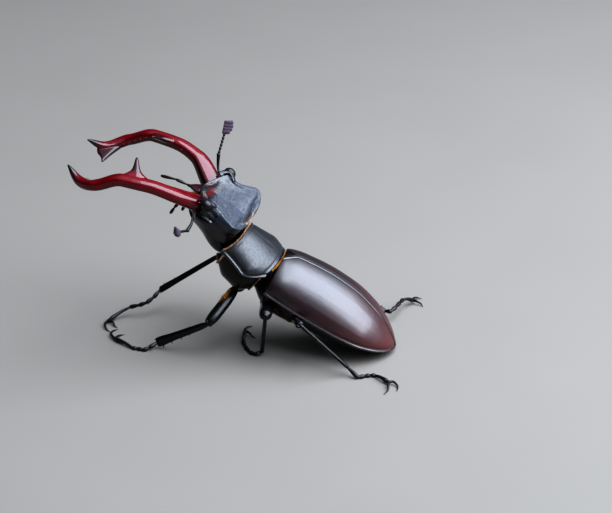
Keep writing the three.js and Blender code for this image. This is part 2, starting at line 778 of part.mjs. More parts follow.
// Joints of each feeler: root, elbow, end of the thin stalk, end of the club; then the way its
// leaves point.
const FEELERS = {
  left: {
    joints: [[4.8, 8.2, -2.3], [3.6, 11.9, -4.0], [4.8, 13.8, -4.2], [6.0, 14.6, -3.6]],
    leaves: [-0.7, 0.15, -0.75],
  },
  right: {
    joints: [[5.0, -7.9, -1.2], [8.2, -10, 2.0], [10.0, -12.6, 5.6], [11.2, -14, 7.6]],
    leaves: [-0.8, -0.45, 0.1],
  },
};
for (const [name, { joints, leaves }] of Object.entries(FEELERS)) {
  const [root, elbow, stalk, tip] = joints.map((j) => head.at(...j));
  const origin = head.at(0, 0, 0);
  const lean = head.at(...leaves).sub(origin).normalize();
  const from = (a, b, gap) => a.clone().add(b.clone().sub(a).setLength(gap));
  const scapeWide = curve([
    [0, 0.28],
    [0.15, 0.27],
    [0.8, 0.36],
    [1, 0.4],
  ]);
  const [low, high] = [from(root, elbow, 0.2), from(elbow, root, 0.15)];
  const scape = limb(low, high, scapeWide, scapeWide, lean, 4, 6);
  add(`scape_${name}`, scape, BLACK);

  const beads = 6;
  const stalkPath = [];
  const stalkSizes = [];
  for (let i = 0; i < beads; i++)
    for (const [t, r] of [
      [0.06, 0.26],
      [0.9, 0.33],
    ]) {
      stalkPath.push(from(elbow, stalk, 0.15).lerp(from(stalk, elbow, 0.1), (i + t) / beads));
      stalkSizes.push([r, r]);
    }
  add(`funicle_${name}`, bar(stalkPath, stalkSizes, lean, 5), BLACK);

  // Four leaves in a comb, joined by a stem.
  const stem = limb(from(stalk, tip, 0.15), tip, () => 0.34, () => 0.3, lean, 2, 5);
  const clubLength = tip.distanceTo(stalk);
  const leavesOfClub = [0.2, 0.42, 0.64, 0.86].map((t, i) => {
    const foot = stalk.clone().lerp(tip, t);
    const end = foot
      .clone()
      .addScaledVector(lean, [0.9, 1.25, 1.35, 1.2][i])
      .add(tip.clone().sub(stalk).setLength(0.12 * clubLength));
    const wide = curve([
      [0, 0.28],
      [0.6, 0.34],
      [1, 0.2],
    ]);
    const across = tip.clone().sub(stalk).cross(lean).normalize();
    return limb(foot, end, () => 0.26, wide, across, 3, 4);
  });
  add(`club_${name}`, unite(stem, ...leavesOfClub), CLUB_BROWN);
}

// ---------------------------------------------------------------- mandibles
// Teeth of the inner edge: share of the jaw's length, inward reach, forward, upward, radius.
const JAW_TEETH = [
  [0.445, 5.4, 2.0, 2.9, 1.25],
  [0.83, 5.0, 0.4, -1.9, 1.15],
  [0.33, 2.0, 0.1, 0.3, 0.55],
  [0.6, 2.1, -0.1, 0.3, 0.6],
  [0.67, 2.1, 0.0, 0.0, 0.6],
  [0.74, 1.9, 0.1, -0.2, 0.55],
];
const JAW_STATIONS = [0, 0.06, 0.13, 0.21, 0.3, 0.39, 0.48, 0.57, 0.66, 0.74, 0.81, 0.87, 0.92, 0.96];
for (const [name, side] of SIDES) {
  const blade = jawBlade(side, JAW_STATIONS, 0, jawAt(1, side));
  const teeth = JAW_TEETH.map(([t, inward, forward, up, radius]) => {
    const foot = jawAt(t, side);
    const tip = foot
      .clone()
      .addScaledVector(jaws.left, -side * inward)
      .addScaledVector(jaws.forward, forward)
      .addScaledVector(jaws.up, up);
    return spike(foot, tip, radius, radius > 1 ? 6 : 4);
  });
  add(`mandible_${name}`, unite(blade, ...teeth), MAROON);
}

// ---------------------------------------------------------------- legs
// Thickness along one foot segment and along the last: share of its length, radius.
const FOOT_BEADS = [
  [0.08, 0.27],
  [0.88, 0.42],
];
const LAST_BEADS = [
  [0.03, 0.27],
  [0.5, 0.3],
  [0.97, 0.4],
];
const UPRIGHT = vec([0, 0, 1]);

for (const [name, { foot, claws, edge }] of Object.entries(LEGS)) {
  const { row, hip, bend, end } = jointsOf(name);
  const size = SEGMENTS[row];
  add(`coxa_${name}`, ball(hip, HIPS[row].radii, HIPS[row].frame), BLACK);
  add(`femur_${name}`, thigh(name, 0), BLACK);

  const down = end.clone().sub(bend).normalize();
  const outward = edge ? vec(edge) : bend.clone().sub(hip);
  outward.addScaledVector(down, -outward.dot(down)).normalize();
  const face = outward.clone().cross(down);
  const start = toward(bend, end, size.femur[0] * 0.6 + 0.75);
  const stop = toward(end, bend, 0.15);
  const wideAt = (t) => size.knee + (size.apex - size.knee) * tibiaSwell(t);
  const flatAt = (t) => 0.42 + (size.flat - 0.42) * t;
  const tibia = limb(start, stop, wideAt, flatAt, face, 6, 8);
  const spines = SPINES[row].map(([t, length, radius]) => {
    const middle = start.clone().lerp(stop, t);
    const base = middle.clone().addScaledVector(outward, wideAt(t) * 0.5);
    const tip = middle
      .clone()
      .addScaledVector(outward, wideAt(t) + length)
      .addScaledVector(down, 0.5 * length);
    return spike(base, tip, radius);
  });
  add(`tibia_${name}`, unite(tibia, ...spines), BLACK);

  const joints = [end, ...foot.map(vec)];
  const path = [];
  const sizes = [];
  joints.slice(0, -1).forEach((from, i) => {
    const beads = i === 4 ? LAST_BEADS : FOOT_BEADS;
    for (const [t, r] of beads) {
      path.push(from.clone().lerp(joints[i + 1], i === 0 ? 0.12 + 0.88 * t : t));
      sizes.push([r, r]);
    }
  });
  add(`tarsus_${name}`, settle(bar(path, sizes, UPRIGHT, 6, [], 0)), TARSUS_BROWN);

  const lead = joints[5].clone().sub(joints[4]).setLength(0.75);
  const centre = joints[5].clone().add(lead);
  const [first, second] = claws.map((c) => c.map(vec));
  const clawPath = [first[1], first[0], centre, second[0], second[1]];
  const clawSizes = [0.26, 0.31, 0.36, 0.31, 0.26].map((r) => [r, r]);
  const pair = bar(clawPath, clawSizes, UPRIGHT, 6, [first[2], second[2]], 0);
  add(`claws_${name}`, settle(pair), TARSUS_BROWN);
}

export default beetle;
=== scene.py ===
"""Stag beetle, a large male with its fore body raised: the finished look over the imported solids."""

import bpy
import numpy as np
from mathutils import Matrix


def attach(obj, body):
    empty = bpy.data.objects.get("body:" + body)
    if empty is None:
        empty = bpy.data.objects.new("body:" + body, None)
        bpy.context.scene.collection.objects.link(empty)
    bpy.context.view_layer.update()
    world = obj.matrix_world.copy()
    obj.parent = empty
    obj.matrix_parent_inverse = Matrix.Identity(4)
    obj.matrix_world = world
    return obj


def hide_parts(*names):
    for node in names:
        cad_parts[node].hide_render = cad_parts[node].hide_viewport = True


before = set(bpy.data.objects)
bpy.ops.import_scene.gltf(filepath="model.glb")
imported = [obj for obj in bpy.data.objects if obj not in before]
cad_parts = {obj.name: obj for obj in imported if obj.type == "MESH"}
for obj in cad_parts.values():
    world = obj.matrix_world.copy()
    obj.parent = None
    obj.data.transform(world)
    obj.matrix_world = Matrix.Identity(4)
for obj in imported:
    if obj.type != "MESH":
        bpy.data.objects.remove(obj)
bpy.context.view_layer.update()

# ---- driving sizes, millimetres
MM = 0.001
CENTRING = np.array([3.2, 5.83, 0.0])
HIND_BODY = {"origin": (0, 0, 16), "pitch": 27.65, "yaw": 0, "roll": 0.8}
FORE_BODY = {"origin": (0.02, 0.15, 17.29), "pitch": 38.53, "yaw": -2.87, "roll": 0.5}
HEAD = {"origin": (-0.54, -8.84, 32.2), "pitch": 36.4, "yaw": -2.5, "roll": 6}
JAW_PITCH = 13
JAW_REACH = 30
JAW_BASE = (5.3, 0, -1.07)

ELYTRA_LENGTH = 32
ELYTRA_HALF_WIDTH = 9.9
ELYTRA_HEIGHT = 8.2
ELYTRA_FRONT = 0.03
ELYTRA_HALF_THICKNESS = 0.32
ELYTRA_RIBS = (0.28, 0.52, 0.76)
SUTURE_GAP = 0.04
SCUTELLUM_LENGTH = 2.4
SCUTELLUM_HALF_WIDTH = 1.9
SCUTELLUM_HALF_THICKNESS = 0.25
PRONOTUM_LENGTH = 9.52
PRONOTUM_HALF_WIDTH = 9.2
PRONOTUM_HEIGHT = 5.15
PRONOTUM_HALF_THICKNESS = 0.3
HIND_ANGLE_CLIMB = 22
EYE_RADIUS = 1.4
EYE_PLACE = (3.7, 7.7, 1.6)
# Fineness of the skins that are grown over several solids.
HEAD_VOXEL = 0.1
JAW_VOXEL = 0.085
TIBIA_VOXEL = 0.07
SIDES = (("left", 1), ("right", -1))

rng = np.random.default_rng(7)


# ---- curves and frames
def curve(*pairs):
    """Smooth curve through (place, value) pairs that never overshoots them."""
    xs, ys = np.array(pairs, float).T
    steps = np.diff(ys) / np.diff(xs)
    slope = np.concatenate([steps[:1], np.zeros(len(xs) - 2), steps[-1:]])
    before, after = steps[:-1], steps[1:]
    same = before * after > 0
    total = np.where(same, before + after, 1)
    slope[1:-1] = np.where(same, 2 * before * after / total, 0)

    def value(x):
        x = np.clip(x, xs[0], xs[-1])
        i = np.clip(np.searchsorted(xs, x, side="right") - 1, 0, len(xs) - 2)
        span = xs[i + 1] - xs[i]
        t = (x - xs[i]) / span
        rise = (3 * t**2 - 2 * t**3) * ys[i + 1] + (t**3 - t**2) * span * slope[i + 1]
        return (2 * t**3 - 3 * t**2 + 1) * ys[i] + (t**3 - 2 * t**2 + t) * span * slope[i] + rise

    return value


def unit(v):
    """Vectors brought to length 1."""
    return v / np.maximum(np.linalg.norm(v, axis=-1, keepdims=True), 1e-9)


class BodyFrame:
    """Turns (forward, left, up) of a tilted part of the body into points of the model, in mm."""

    def __init__(self, origin, pitch, yaw, roll):
        p, y, r = np.radians([pitch, yaw, roll])
        level = np.array([np.sin(y), -np.cos(y), 0])
        side = np.array([np.cos(y), np.sin(y), 0])
        self.forward = level * np.cos(p) + np.array([0, 0, np.sin(p)])
        rise = -level * np.sin(p) + np.array([0, 0, np.cos(p)])
        self.left = side * np.cos(r) - rise * np.sin(r)
        self.up = rise * np.cos(r) + side * np.sin(r)
        self.origin = np.array(origin, float)

    def at(self, forward, left, up):
        parts = np.broadcast_arrays(forward, left, up)
        f, l, u = (np.asarray(a, float)[..., None] for a in parts)
        return self.origin + f * self.forward + l * self.left + u * self.up

    def way(self, forward, left, up):
        return unit(forward * self.forward + left * self.left + up * self.up)


hind = BodyFrame(**HIND_BODY)
fore = BodyFrame(**FORE_BODY)
head = BodyFrame(**HEAD)
jaws = BodyFrame(**{**HEAD, "origin": head.at(*JAW_BASE), "pitch": JAW_PITCH})


def smooth_path(points, count):
    """Evenly numbered points on a rounded curve through the given ones (Catmull-Rom)."""
    p = np.array(points, float)
    p = np.vstack([2 * p[0] - p[1], p, 2 * p[-1] - p[-2]])
    spans = len(p) - 3
    x = np.linspace(0, spans, count)
    i = np.minimum(x.astype(int), spans - 1)
    t = (x - i)[:, None]
    a, b, c, d = p[i], p[i + 1], p[i + 2], p[i + 3]
    return 0.5 * (2 * b + (c - a) * t + (2 * a - 5 * b + 4 * c - d) * t**2 + (3 * b - a - 3 * c + d) * t**3)


def shares(count):
    """Even steps from 0 to 1."""
    return np.linspace(0, 1, count)


def clamp(x):
    """x held between 0 and 1."""
    return np.clip(x, 0, 1)


def bell(x, middle, width):
    """1 at the middle, falling off smoothly to both sides."""
    return np.exp(-(((x - middle) / width) ** 2))


def rounded(x, power):
    """The size of x raised to a power, its sign kept: squares or hollows a round section."""
    return np.sign(x) * np.abs(x) ** power


def section(sides, power=1.0):
    """A closed ring as (across, rise): power 1 is a circle, less is squarer and more is hollowed."""
    turn = np.linspace(0, 2 * np.pi, sides, endpoint=False)
    return rounded(np.cos(turn), power), rounded(np.sin(turn), power)


# ---- closed meshes as (points, faces)
def loft(rings):
    """A closed skin through rings (R, C, 3), with a face over each end."""
    rings = np.asarray(rings, float)
    rows, count = rings.shape[:2]
    i, j = np.meshgrid(np.arange(rows - 1), np.arange(count), indexing="ij")
    a, b = i * count + j, i * count + (j + 1) % count
    faces = np.stack([a, b, b + count, a + count], -1).reshape(-1, 4).tolist()
    faces.append(list(range(count - 1, -1, -1)))
    faces.append(list(range((rows - 1) * count, rows * count)))
    return rings.reshape(-1, 3), faces


def join(solids):
    """Several closed meshes as one."""
    points, faces, start = [], [], 0
    for p, f in solids:
        points.append(p)
        faces.extend([[i + start for i in face] for face in f])
        start += len(p)
    return np.vstack(points), faces


def sweep(path, wide, thick, up, sides=24, power=2.0):
    """A bar along a path with rounded ends: half-sizes along it, `power` 2 for an oval section."""
    path = np.asarray(path, float)
    n = len(path)
    wide, thick = np.broadcast_to(wide, n).astype(float), np.broadcast_to(thick, n).astype(float)
    along = unit(np.gradient(path, axis=0))
    ends = []
    for end, way in ((0, -1), (-1, 1)):
        radius = 0.8 * min(wide[end], thick[end])
        turns = np.radians([25, 50, 72, 86])
        ends.append([(path[end] + way * radius * np.sin(a) * along[end], np.cos(a)) for a in turns])
    first, last = ends[0][::-1], ends[1]
    path = np.vstack([[p for p, _ in first], path, [p for p, _ in last]])
    shrink = np.concatenate([[k for _, k in first], np.ones(n), [k for _, k in last]])
    pad = (len(first), len(last))
    wide, thick = np.pad(wide, pad, "edge") * shrink, np.pad(thick, pad, "edge") * shrink
    along = np.pad(along, (pad, (0, 0)), "edge")
    across = unit(np.cross(along, up))
    rise = np.cross(across, along)
    c, s = section(sides, 2 / power)
    rings = (
        path[:, None]
        + across[:, None] * (wide[:, None] * c)[..., None]
        + rise[:, None] * (thick[:, None] * s)[..., None]
    )
    return loft(rings)


def ball(centre, radii, frame_of, sides=40, rows=24):
    """An ellipsoid on a body frame's axes."""
    tilt = np.linspace(0.02, np.pi - 0.02, rows)
    c, s = section(sides)
    f = radii[0] * np.sin(tilt)[:, None] * c
    l = radii[1] * np.sin(tilt)[:, None] * s
    u = radii[2] * np.cos(tilt)[:, None] * np.ones(sides)
    ways = f[..., None] * frame_of.forward + l[..., None] * frame_of.left + u[..., None] * frame_of.up
    return loft(np.asarray(centre) + ways)


def normals_of(grid, outward):
    """Unit normals of a grid of points, on the side that `outward` points to on average."""
    n = unit(np.cross(np.gradient(grid, axis=0), np.gradient(grid, axis=1)))
    return n if (n * outward).sum() > 0 else -n


def plate(grid, outward, half, bead):
    """A closed curved plate whose outer face follows the grid plus `bead`, with rounded edges."""
    n = normals_of(grid, outward)
    mid = grid - n * half
    along = unit(np.gradient(mid, axis=0))
    across = unit(np.gradient(mid, axis=1))
    bend = np.linspace(0, np.pi, 8)[1:-1][:, None, None]

    def ring(i, shift, k):
        """One ring round row i, moved `shift` outward along the rows and thinned to k."""
        m = mid[i] + along[i] * shift
        h = half * k
        outer = m + n[i] * (h + k * bead[i][:, None])
        right = m[-1] + h * (np.cos(bend) * n[i, -1] + np.sin(bend) * across[i, -1])
        left = m[0] - h * (np.cos(bend) * n[i, 0] + np.sin(bend) * across[i, 0])
        return np.vstack([outer, right[:, 0], (m - n[i] * h)[::-1], left[:, 0]])

    round_off = [(half * np.sin(a), np.cos(a)) for a in np.radians([87, 70, 45, 22])]
    rings = [ring(0, -shift, k) for shift, k in round_off]
    rings += [ring(i, 0, 1) for i in range(len(mid))]
    rings += [ring(-1, shift, k) for shift, k in round_off[::-1]]
    return loft(rings)


# ---- pieces
def link(name, data):
    """A new object of the scene."""
    thing = bpy.data.objects.new(name, data)
    bpy.context.scene.collection.objects.link(thing)
    return thing


def new_object(name, points, faces, scale=MM):
    """A mesh from points in mm, pressed flat where it would reach below the floor."""
    points = np.array(points, float)
    points[:, 2] = np.maximum(points[:, 2], 0)
    mesh = bpy.data.meshes.new(name)
    mesh.from_pydata((points * scale).tolist(), [], faces)
    mesh.validate()
    mesh.update()
    return link(name, mesh)


def vertices_of(mesh):
    """Vertices as (N, 3)."""
    co = np.empty(len(mesh.vertices) * 3)
    mesh.vertices.foreach_get("co", co)
    return co.reshape(-1, 3)


def triangles_of(mesh):
    """The first, second and third corners of all triangles."""
    mesh.calc_loop_triangles()
    tri = np.empty(len(mesh.loop_triangles) * 3, int)
    mesh.loop_triangles.foreach_get("vertices", tri)
    return vertices_of(mesh)[tri.reshape(-1, 3)].transpose(1, 0, 2)


def store(mesh, layer, values):
    """Keeps one number a vertex, for a finish to read."""
    kept = mesh.attributes.new(layer, "FLOAT", "POINT")
    kept.data.foreach_set("value", values.astype(np.float32))


def paint(thing, layer, values):
    """Stores a layer between 0 and 1 that `values` works out from the vertices in mm."""
    points = vertices_of(thing.data) / MM - CENTRING
    store(thing.data, layer, clamp(values(points)))


def dress(thing, finish):
    """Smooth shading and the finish."""
    mesh = thing.data
    mesh.polygons.foreach_set("use_smooth", [True] * len(mesh.polygons))
    mesh.materials.clear()
    mesh.materials.append(finish.material)
    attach(thing, "root")


def shell(thing, finish, node):
    """Faces turned outward by the sign of the volume they close; stands for a CAD node."""
    a, b, c = triangles_of(thing.data)
    if (a * np.cross(b, c)).sum() < 0:
        thing.data.flip_normals()
    dress(thing, finish)
    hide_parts(node)
    return thing


def piece(name, solids, finish, node):
    """A piece made of closed meshes as they are."""
    points, faces = join(solids)
    return shell(new_object(name, points + CENTRING, faces), finish, node)


def grown_piece(name, solids, finish, node, voxel, rounds):
    """A piece whose closed meshes are grown into one skin with soft fillets."""
    points, faces = join(solids)
    rough = new_object(name + "_rough", points + CENTRING, faces, 1)
    remesh = rough.modifiers.new("remesh", "REMESH")
    remesh.mode = "VOXEL"
    remesh.voxel_size = voxel
    soften = rough.modifiers.new("soften", "SMOOTH")
    soften.factor = 0.5
    soften.iterations = rounds
    shown = rough.evaluated_get(bpy.context.evaluated_depsgraph_get())
    mesh = bpy.data.meshes.new_from_object(shown)
    bpy.data.objects.remove(rough)
    mesh.name = name
    mesh.vertices.foreach_set("co", vertices_of(mesh).ravel() * MM)
    mesh.update()
    return shell(link(name, mesh), finish, node)


def place_in(points, body):
    """(forward, left, up) of points in a body frame."""
    away = points - body.origin
    return away @ body.forward, away @ body.left, away @ body.up


# ---- finishes
class Finish:
    """A procedural material, its patterns measured in millimetres; the slot it is given is kept but not
    used.
    """

    def __init__(self, name, slot=None, roughness=0.3, coat=0.0, specular=0.5):
        self.slot = slot
        self.material = bpy.data.materials.new(name)
        self.material.use_nodes = True
        self.tree = self.material.node_tree
        self.shader = self.tree.nodes["Principled BSDF"]
        self.shader.inputs["Roughness"].default_value = roughness
        self.shader.inputs["Coat Weight"].default_value = coat
        self.shader.inputs["Coat Roughness"].default_value = 0.12
        self.shader.inputs["Specular IOR Level"].default_value = specular
        place = self.tree.nodes.new("ShaderNodeTexCoord")
        scale = self.tree.nodes.new("ShaderNodeMapping")
        scale.inputs["Scale"].default_value = (1 / MM, 1 / MM, 1 / MM)
        self.tree.links.new(place.outputs["Object"], scale.inputs["Vector"])
        self.place = scale.outputs["Vector"]

    def node(self, kind, settings=None, **inputs):
        """A node with its inputs set or linked; i0, i1 and so on name an input by its number."""
        made = self.tree.nodes.new(kind)
        for key, value in (settings or {}).items():
            setattr(made, key, value)
        for key, value in inputs.items():
            socket = made.inputs[int(key[1:])] if key[0] == "i" and key[1:].isdigit() else made.inputs[key]
            if isinstance(value, bpy.types.NodeSocket):
                self.tree.links.new(value, socket)
            else:
                socket.default_value = value
        return made

    def noise(self, per_mm, detail):
        sizes = {"Scale": per_mm, "Detail": detail, "Roughness": 0.55}
        return self.node("ShaderNodeTexNoise", Vector=self.place, **sizes).outputs["Fac"]

    def pits(self, per_mm, radius):
        """1 in small round pits strewn over the surface, 0 between them."""
        return self.ramp(self.cells(per_mm), radius, radius * 0.4)

    def cells(self, per_mm):
        """Distance from the middle of the nearest of many small cells."""
        return self.node("ShaderNodeTexVoronoi", Vector=self.place, Scale=per_mm).outputs["Distance"]

    def layer(self, name):
        """A layer stored on the mesh."""
        return self.node("ShaderNodeAttribute", {"attribute_name": name}).outputs["Fac"]

    def ramp(self, value, low, high, to_low=0.0, to_high=1.0):
        made = self.node("ShaderNodeMapRange", {"interpolation_type": "SMOOTHSTEP"}, Value=value)
        for key, v in (("From Min", low), ("From Max", high), ("To Min", to_low), ("To Max", to_high)):
            made.inputs[key].default_value = v
        return made.outputs["Result"]

    def mix(self, share, a, b, blend="MIX"):
        settings = {"data_type": "RGBA", "blend_type": blend}
        made = self.node("ShaderNodeMix", settings, i0=share, i6=colour(a), i7=colour(b))
        return made.outputs[2]

    def maths(self, operation, a, b):
        return self.node("ShaderNodeMath", {"operation": operation}, i0=a, i1=b).outputs[0]

    def colour_from(self, socket):
        self.tree.links.new(socket, self.shader.inputs["Base Color"])

    def roughness_from(self, socket):
        self.tree.links.new(socket, self.shader.inputs["Roughness"])

    def wavering_roughness(self, per_mm, low, high, layer=None, change=0.0):
        """Roughness between two values in fine clouds, changed by a layer of the mesh."""
        value = self.ramp(self.noise(per_mm, 4), 0.25, 0.75, low, high)
        if layer is not None:
            value = self.maths("ADD", value, self.maths("MULTIPLY", layer, change))
        self.roughness_from(value)

    def bumps(self, *layers):
        """Layers of (height, depth in mm), stacked from coarse to fine."""
        normal = None
        for height, depth in layers:
            made = self.node("ShaderNodeBump", Height=height, Distance=depth * MM)
            if normal is not None:
                self.tree.links.new(normal, made.inputs["Normal"])
            normal = made.outputs["Normal"]
        self.tree.links.new(normal, self.shader.inputs["Normal"])


def colour(value):
    """An opaque colour; a socket is passed on as it is."""
    return (*value, 1.0) if isinstance(value, tuple) and len(value) == 3 else value


JET = (0.003, 0.002, 0.003)


def elytra_finish():
    """Near-black shell that turns red where the layer says, polished on its edges."""
    f = Finish("elytra_shell", "elytra_shell", coat=0.1, specular=0.95)
    red = f.maths("ADD", f.layer("red"), f.ramp(f.noise(0.16, 4), 0.3, 0.7, -0.08, 0.08))
    shell = f.mix(red, (0.005, 0.0015, 0.003), (0.06, 0.0004, 0.0004))
    f.colour_from(f.mix(f.layer("rim"), shell, JET))
    f.wavering_roughness(3.0, 0.34, 0.43, f.layer("rim"), -0.17)
    f.bumps((f.noise(0.5, 2), 0.025), (f.pits(3.2, 0.16), -0.012), (f.noise(11, 3), 0.008))
    return f


def pronotum_finish():
    """Dull black with fine pits, polished on its edges."""
    f = Finish("pronotum_shell", "dull_shell", specular=0.75)
    f.colour_from(f.mix(f.noise(0.25, 4), (0.003, 0.003, 0.005), (0.009, 0.009, 0.012)))
    f.wavering_roughness(2.5, 0.33, 0.46, f.layer("rim"), -0.2)
    f.bumps((f.noise(0.45, 3), 0.06), (f.noise(1.6, 4), 0.03), (f.pits(3.0, 0.26), -0.08))
    return f


def head_finish():
    """Glossy black below; bluish slate grey on the disc, partly its matte grain and partly a painted sky
    sheen; a rusty patch on the brow.
    """
    f = Finish("head_shell", "dull_shell", specular=0.75)
    top = f.layer("top")
    # Bluish slate grey of the disc: partly its matte grain, partly a painted sky sheen.
    grey_grain_and_painted_sheen = f.mix(f.noise(0.4, 4), (0.006, 0.01, 0.018), (0.02, 0.029, 0.044))
    rusty = f.mix(f.layer("rust"), grey_grain_and_painted_sheen, (0.1, 0.003, 0.002))
    f.colour_from(f.mix(f.maths("MAXIMUM", top, f.layer("rust")), JET, rusty))
    f.wavering_roughness(3.5, 0.12, 0.2, top, 0.26)
    grains = f.maths("MULTIPLY", f.pits(6.5, 0.28), top)
    f.bumps((f.noise(0.9, 4), 0.05), (f.noise(2.2, 4), 0.03), (grains, 0.045))
    return f


def mandible_finish():
    """Polished deep red, black towards tips, inner edge and foot."""
    f = Finish("mandible_shell", "mandible_shell", specular=0.5)
    red = f.mix(f.noise(0.35, 5), (0.06, 0.0003, 0.0025), (0.15, 0.0006, 0.006))
    dark = f.maths("ADD", f.layer("dark"), f.ramp(f.noise(0.8, 4), 0.35, 0.75, -0.1, 0.14))
    f.colour_from(f.mix(dark, red, JET))
    f.roughness_from(f.ramp(f.noise(1.5, 5), 0.25, 0.75, 0.06, 0.13))
    f.bumps((f.noise(0.55, 3), 0.04), (f.pits(2.2, 0.13), -0.02), (f.noise(7, 4), 0.008))
    return f


def black_finish(slot, brown, rough):
    """Glossy black of the underside and legs, browner on the feet."""
    f = Finish(slot, slot, specular=0.32)
    light = (0.006 + brown, 0.005 + brown * 0.45, 0.005 + brown * 0.3)
    f.colour_from(f.mix(f.noise(0.7, 4), (0.002, 0.002, 0.0025), light))
    f.wavering_roughness(2.5, rough, rough + 0.12)
    f.bumps((f.noise(0.8, 3), 0.06), (f.pits(2.6, 0.14), -0.022), (f.noise(10, 3), 0.008))
    return f


def eye_finish():
    """Black with a net of fine facets."""
    f = Finish("eye_surface", "eye_surface", specular=0.35)
    f.colour_from(f.mix(f.noise(1.2, 3), (0.004, 0.003, 0.004), (0.014, 0.010, 0.013)))
    f.roughness_from(f.ramp(f.noise(4, 3), 0.3, 0.7, 0.16, 0.26))
    f.bumps((f.cells(16.0), -0.006))
    return f


def club_finish():
    """Mauve down of the feeler's club."""
    f = Finish("club_down", "club_down", roughness=0.75)
    f.colour_from(f.mix(f.noise(2.0, 4), (0.02, 0.009, 0.02), (0.055, 0.03, 0.05)))
    f.shader.inputs["Sheen Weight"].default_value = 0.6
    f.shader.inputs["Sheen Roughness"].default_value = 0.4
    f.bumps((f.noise(16, 3), 0.03))
    return f


def hair_finish(name, root, tip):
    """Coloured from root to tip, each hair a little lighter or darker than the next."""
    f = Finish(name, "club_down", roughness=0.45)
    base = f.mix(f.layer("length"), root, tip)
    shade = f.mix(f.layer("tone"), (0.45, 0.45, 0.45), (1.0, 1.0, 1.0))
    f.colour_from(f.mix(1.0, base, shade, "MULTIPLY"))
    return f


ELYTRA = elytra_finish()
PRONOTUM = pronotum_finish()
HEAD_SHELL = head_finish()
MANDIBLE = mandible_finish()
BLACK = black_finish("black_shell", 0.0, 0.17)
FOOT = black_finish("foot_shell", 0.008, 0.22)
EYE = eye_finish()
CLUB = club_finish()
GOLD_HAIR = hair_finish("gold_hair", (0.6, 0.2, 0.03), (1.0, 0.5, 0.1))
PEACH_HAIR = hair_finish("peach_hair", (0.6, 0.24, 0.09), (1.0, 0.62, 0.36))
RUST_HAIR = hair_finish("rust_hair", (0.12, 0.04, 0.015), (0.34, 0.15, 0.06))
PALE_HAIR = hair_finish("pale_hair", (0.3, 0.22, 0.18), (0.7, 0.56, 0.5))
GREY_HAIR = hair_finish("grey_hair", (0.12, 0.13, 0.16), (0.6, 0.62, 0.72))


# ---- hairs as solid mesh
HAIR_SIDES = 3
HAIR_SIZES = np.array([1.0, 0.92, 0.75, 0.48])
UNWRAP_PATCH = 0.003


def hairs(name, roots, ways, lengths, width, spots, finish, droop=0.25, spread=0.25):
    """Thin curved spikes joined into one mesh. `spots` places each root on an unwrap of its skin."""
    count, rings = len(roots), len(HAIR_SIZES)
    ways = unit(ways + rng.normal(0, spread, (count, 3)))
    across = unit(np.cross(ways, rng.normal(0, 1, (count, 3))))
    rise = np.cross(across, ways)
    lengths = np.asarray(lengths) * rng.uniform(0.65, 1.15, count)
    t = shares(rings + 1)
    curl = rng.uniform(0.3, 1.0, count) * droop
    line = (
        roots[:, None]
        + ways[:, None] * (t * lengths[:, None])[..., None]
        + rise[:, None] * (t**2 * (lengths * curl)[:, None])[..., None]
    )
    c, s = section(HAIR_SIDES)
    outward = across[:, None] * c[:, None] + rise[:, None] * s[:, None]
    body = line[:, :rings, None] + outward[:, None] * (width * HAIR_SIZES)[:, None, None]
    points = np.concatenate([body.reshape(count, -1, 3), line[:, rings:]], 1)

    places = np.arange(rings * HAIR_SIDES).reshape(rings, HAIR_SIDES)
    edges = list(zip(places.ravel().tolist(), np.roll(places, -1, 1).ravel().tolist()))
    tip = rings * HAIR_SIDES
    faces = [(a, b, b + HAIR_SIDES, a + HAIR_SIDES) for a, b in edges[:-HAIR_SIDES]]
    faces += [(a, b, tip) for a, b in edges[-HAIR_SIDES:]]
    faces.append((2, 1, 0))
    per = tip + 1
    all_faces = [tuple(k * per + v for v in face) for k in range(count) for face in faces]
    thing = new_object(name, points.reshape(-1, 3) + CENTRING, all_faces)

    mesh = thing.data
    along = np.append(np.repeat(t[:rings], HAIR_SIDES), 1.0)
    round_by = np.append(np.tile(np.arange(HAIR_SIDES) / HAIR_SIDES, rings), 0.5)
    store(mesh, "length", np.tile(along, count))
    store(mesh, "tone", np.repeat(rng.uniform(0, 1, count), per))
    patch = UNWRAP_PATCH * (np.stack([round_by, along], -1) - 0.5)
    uv = (np.clip(spots, 0.002, 0.998)[:, None] + patch).reshape(-1, 2)
    corners = np.empty(len(mesh.loops), int)
    mesh.loops.foreach_get("vertex_index", corners)
    mesh.uv_layers.new(name="OFBake").data.foreach_set("uv", uv[corners].ravel())
    dress(thing, finish)


# ---- elytra and scutellum
elytra_width = curve(
    (0, 0.62), (0.02, 0.8), (0.06, 0.87), (0.15, 0.92), (0.35, 0.985), (0.55, 1),
    (0.72, 0.93), (0.85, 0.73), (0.93, 0.5), (0.98, 0.25), (1, 0.04),
)
elytra_rise = curve(
    (0, 0.78), (0.05, 0.87), (0.15, 0.96), (0.35, 1), (0.55, 0.93), (0.75, 0.7), (0.9, 0.38), (1, 0.07),
)
SCUTELLUM_END = (SCUTELLUM_LENGTH + 1.2) / ELYTRA_LENGTH


def suture_at(t):
    """Half the width between the elytra, which the scutellum fills at the front."""
    share = np.clip((SCUTELLUM_END - t) / (SCUTELLUM_END - ELYTRA_FRONT), 0, None)
    return SUTURE_GAP + share * (SCUTELLUM_HALF_WIDTH + 0.1)


